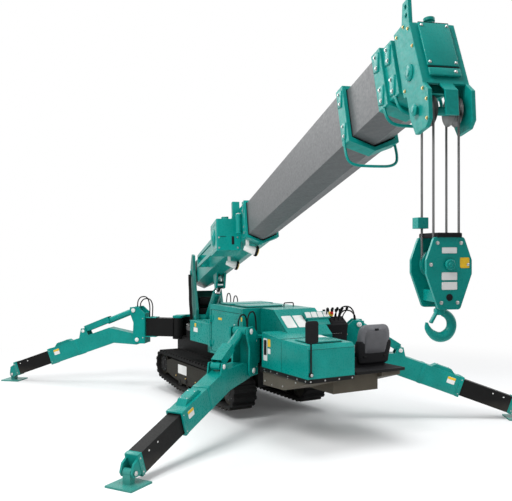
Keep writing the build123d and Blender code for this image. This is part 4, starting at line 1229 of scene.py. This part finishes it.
def open_hook():
    """Forged hook open on one side, with its shank, nut and safety latch."""
    own = moved(upright(floor_middle("hook"), BOOM_HEADING), 0, 0, HOOK_CENTRE)
    rings = []
    for i in range(HOOK_STEPS + 1):
        share = i / HOOK_STEPS
        turn = math.radians(HOOK_START + HOOK_TURN * share)
        out = Vector((0, math.cos(turn), math.sin(turn)))
        flare = TIP_FLARE * max(0.0, share - TIP_FROM) / (1 - TIP_FROM)
        radius = hook_thickness(share)
        ring = []
        for cosine, sine in circle(HOOK_SIDES):
            point = out * (HOOK_RADIUS + flare + radius * cosine)
            ring.append(inside(own, HOOK_FLAT * radius * sine, point.y, point.z))
        rings.append(ring)
    piece = loft("open_hook", "hook", rings, TEAL)
    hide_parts("hook")
    shank = bmesh.new()
    stem = axis_frame(inside(own, 0, 0, SHANK_FOOT), UP)
    add_cones(shank, stem, 28, SHANK_STEPS)
    add_cones(shank, stem, HEX, NUT_STEPS)
    add_mesh("hook_shank", shank, "hook", TEAL)
    latch = bmesh.new()
    run = LATCH_TOP - LATCH_TIP
    lean = Matrix.Rotation(math.atan2(-run.y, run.z), 4, "X")
    add_box(latch, moved(own, *(LATCH_TOP + LATCH_TIP) / 2) @ lean, (24, 12, run.length), 4, 3)
    add_box(latch, moved(own, *LATCH_TOP), (34, 22, 20), 5, 3)
    add_mesh("hook_latch", latch, "hook", TEAL)


# Stage, light and camera
FLOOR_HALF = 60
FLOOR_NEAR = 3.2
FLOOR_FAR = 8.5
FLOOR_LIFT = 0.05
SKY_COLOUR = (0.93, 0.96, 1.0, 1)
SKY_STRENGTH = 0.36
CAMERA_AT = (-9697, 4650, 2100)
CAMERA_TURN = 29.6
CAMERA_LIFT = 0.12
CAMERA_REACH = 300
SENSOR = 36.0
FOCAL_PIXELS = 694
IMAGE_WIDTH = 512


def floor_fade(tree):
    """Share of plain white on the floor, none by the object and all far from it."""
    place = output_of(tree, "NewGeometry", "Position")
    reach = output_of(tree, "VectorMath", "Value", {0: place}, operation="LENGTH")
    limits = {"Value": reach, "From Min": FLOOR_NEAR, "From Max": FLOOR_FAR}
    return output_of(tree, "MapRange", "Result", limits, interpolation_type="SMOOTHSTEP")


def stage():
    """A pale floor that keeps the shadow and turns white far from the object, as the camera sees it."""
    mesh = bpy.data.meshes.new("floor")
    corners = [(x * FLOOR_HALF, y * FLOOR_HALF, 0) for x, y in ((-1, -1), (1, -1), (1, 1), (-1, 1))]
    mesh.from_pydata(corners, [], [(0, 1, 2, 3)])
    material, tree, shader = new_material("pale_floor")
    tint = ramp(tree, noise(tree, scale=0.4, detail=2.0), grey(0.8), grey(0.84))
    feed(tree, shader, {"Base Color": tint, "Roughness": 0.9, "Specular IOR Level": 0.0})
    seen = output_of(tree, "LightPath", "Is Camera Ray")
    lift = output_of(tree, "Emission", "Emission", {"Color": grey(FLOOR_LIFT), "Strength": seen})
    lifted = output_of(tree, "AddShader", "Shader", {0: shader.outputs["BSDF"], 1: lift})
    white = output_of(tree, "Emission", "Emission")
    share = maths(tree, "MULTIPLY", seen, floor_fade(tree))
    mix = output_of(tree, "MixShader", "Shader", {"Fac": share, 1: lifted, 2: white})
    feed(tree, next(node for node in tree.nodes if node.type == "OUTPUT_MATERIAL"), {"Surface": mix})
    show("floor", mesh, material)


def world():
    """Soft light all round, seen by the camera and in reflections as plain white."""
    sky = bpy.data.worlds.new("studio")
    bpy.context.scene.world = sky
    sky.use_nodes = True
    tree = sky.node_tree
    tree.nodes.clear()
    share = output_of(tree, "LightPath", "Is Camera Ray")
    for ray in ("Is Glossy Ray", "Is Transmission Ray"):
        share = maths(tree, "MAXIMUM", share, output_of(tree, "LightPath", ray))
    lit = output_of(tree, "Background", "Background", {"Color": SKY_COLOUR, "Strength": SKY_STRENGTH})
    seen = output_of(tree, "Background", "Background", {"Color": grey(1), "Strength": 1.0})
    mix = output_of(tree, "MixShader", "Shader", {"Fac": share, 1: lit, 2: seen})
    feed(tree, tree.nodes.new("ShaderNodeOutputWorld"), {"Surface": mix})


def lamp(name, place, target, size, power):
    data = bpy.data.lights.new(name, "AREA")
    data.shape = "DISK"
    data.size = size
    data.energy = power
    light = add_object(name, data)
    light.location = place
    light.rotation_euler = (Vector(target) - Vector(place)).to_track_quat("-Z", "Y").to_euler()


def camera():
    data = bpy.data.cameras.new("camera")
    data.sensor_width = SENSOR
    data.lens = SENSOR * FOCAL_PIXELS / IMAGE_WIDTH
    data.clip_end = CAMERA_REACH
    eye = add_object("camera", data)
    eye.location = at(*CAMERA_AT)
    turn = math.radians(-CAMERA_TURN)
    lift = math.radians(CAMERA_LIFT)
    look = Vector((math.cos(turn) * math.cos(lift), math.sin(turn) * math.cos(lift), math.sin(lift)))
    eye.rotation_euler = look.to_track_quat("-Z", "Y").to_euler()
    bpy.context.scene.camera = eye


dress_nodes()
hoist_falls()
for section in SECTIONS:
    collar_fittings(section)
for section in SLIDING:
    rope_guide(section)
lamp_lenses()
head_fittings()
winch_fittings()
body_seams()
body_plates()
door_fittings()
ring_bolts()
column_fittings()
console_fittings()
seat_form()
mirror_fittings()
for outrigger in LEGS:
    leg_pins(outrigger)
    arm_fittings(outrigger)
    yoke_hoses(outrigger)
for outrigger in ("front_left", "front_right"):
    yoke_plates(outrigger)
for track_name, track_side in TRACKS.items():
    track_fittings(track_name, track_side)
block_fittings()
open_hook()

bpy.context.scene.view_settings.view_transform = "Standard"
stage()
world()
lamp("key", at(-6500, 8000, 8500), at(-1500, 0, 900), size=5.0, power=800)
lamp("fill", at(-9000, -5000, 6000), at(-2000, 0, 900), size=6.0, power=300)
lamp("front", at(6000, 3000, 7000), at(-1000, 0, 900), size=6.0, power=300)
lamp("top", at(-2500, 500, 11000), at(-2500, 500, 0), size=6.0, power=600)
camera()
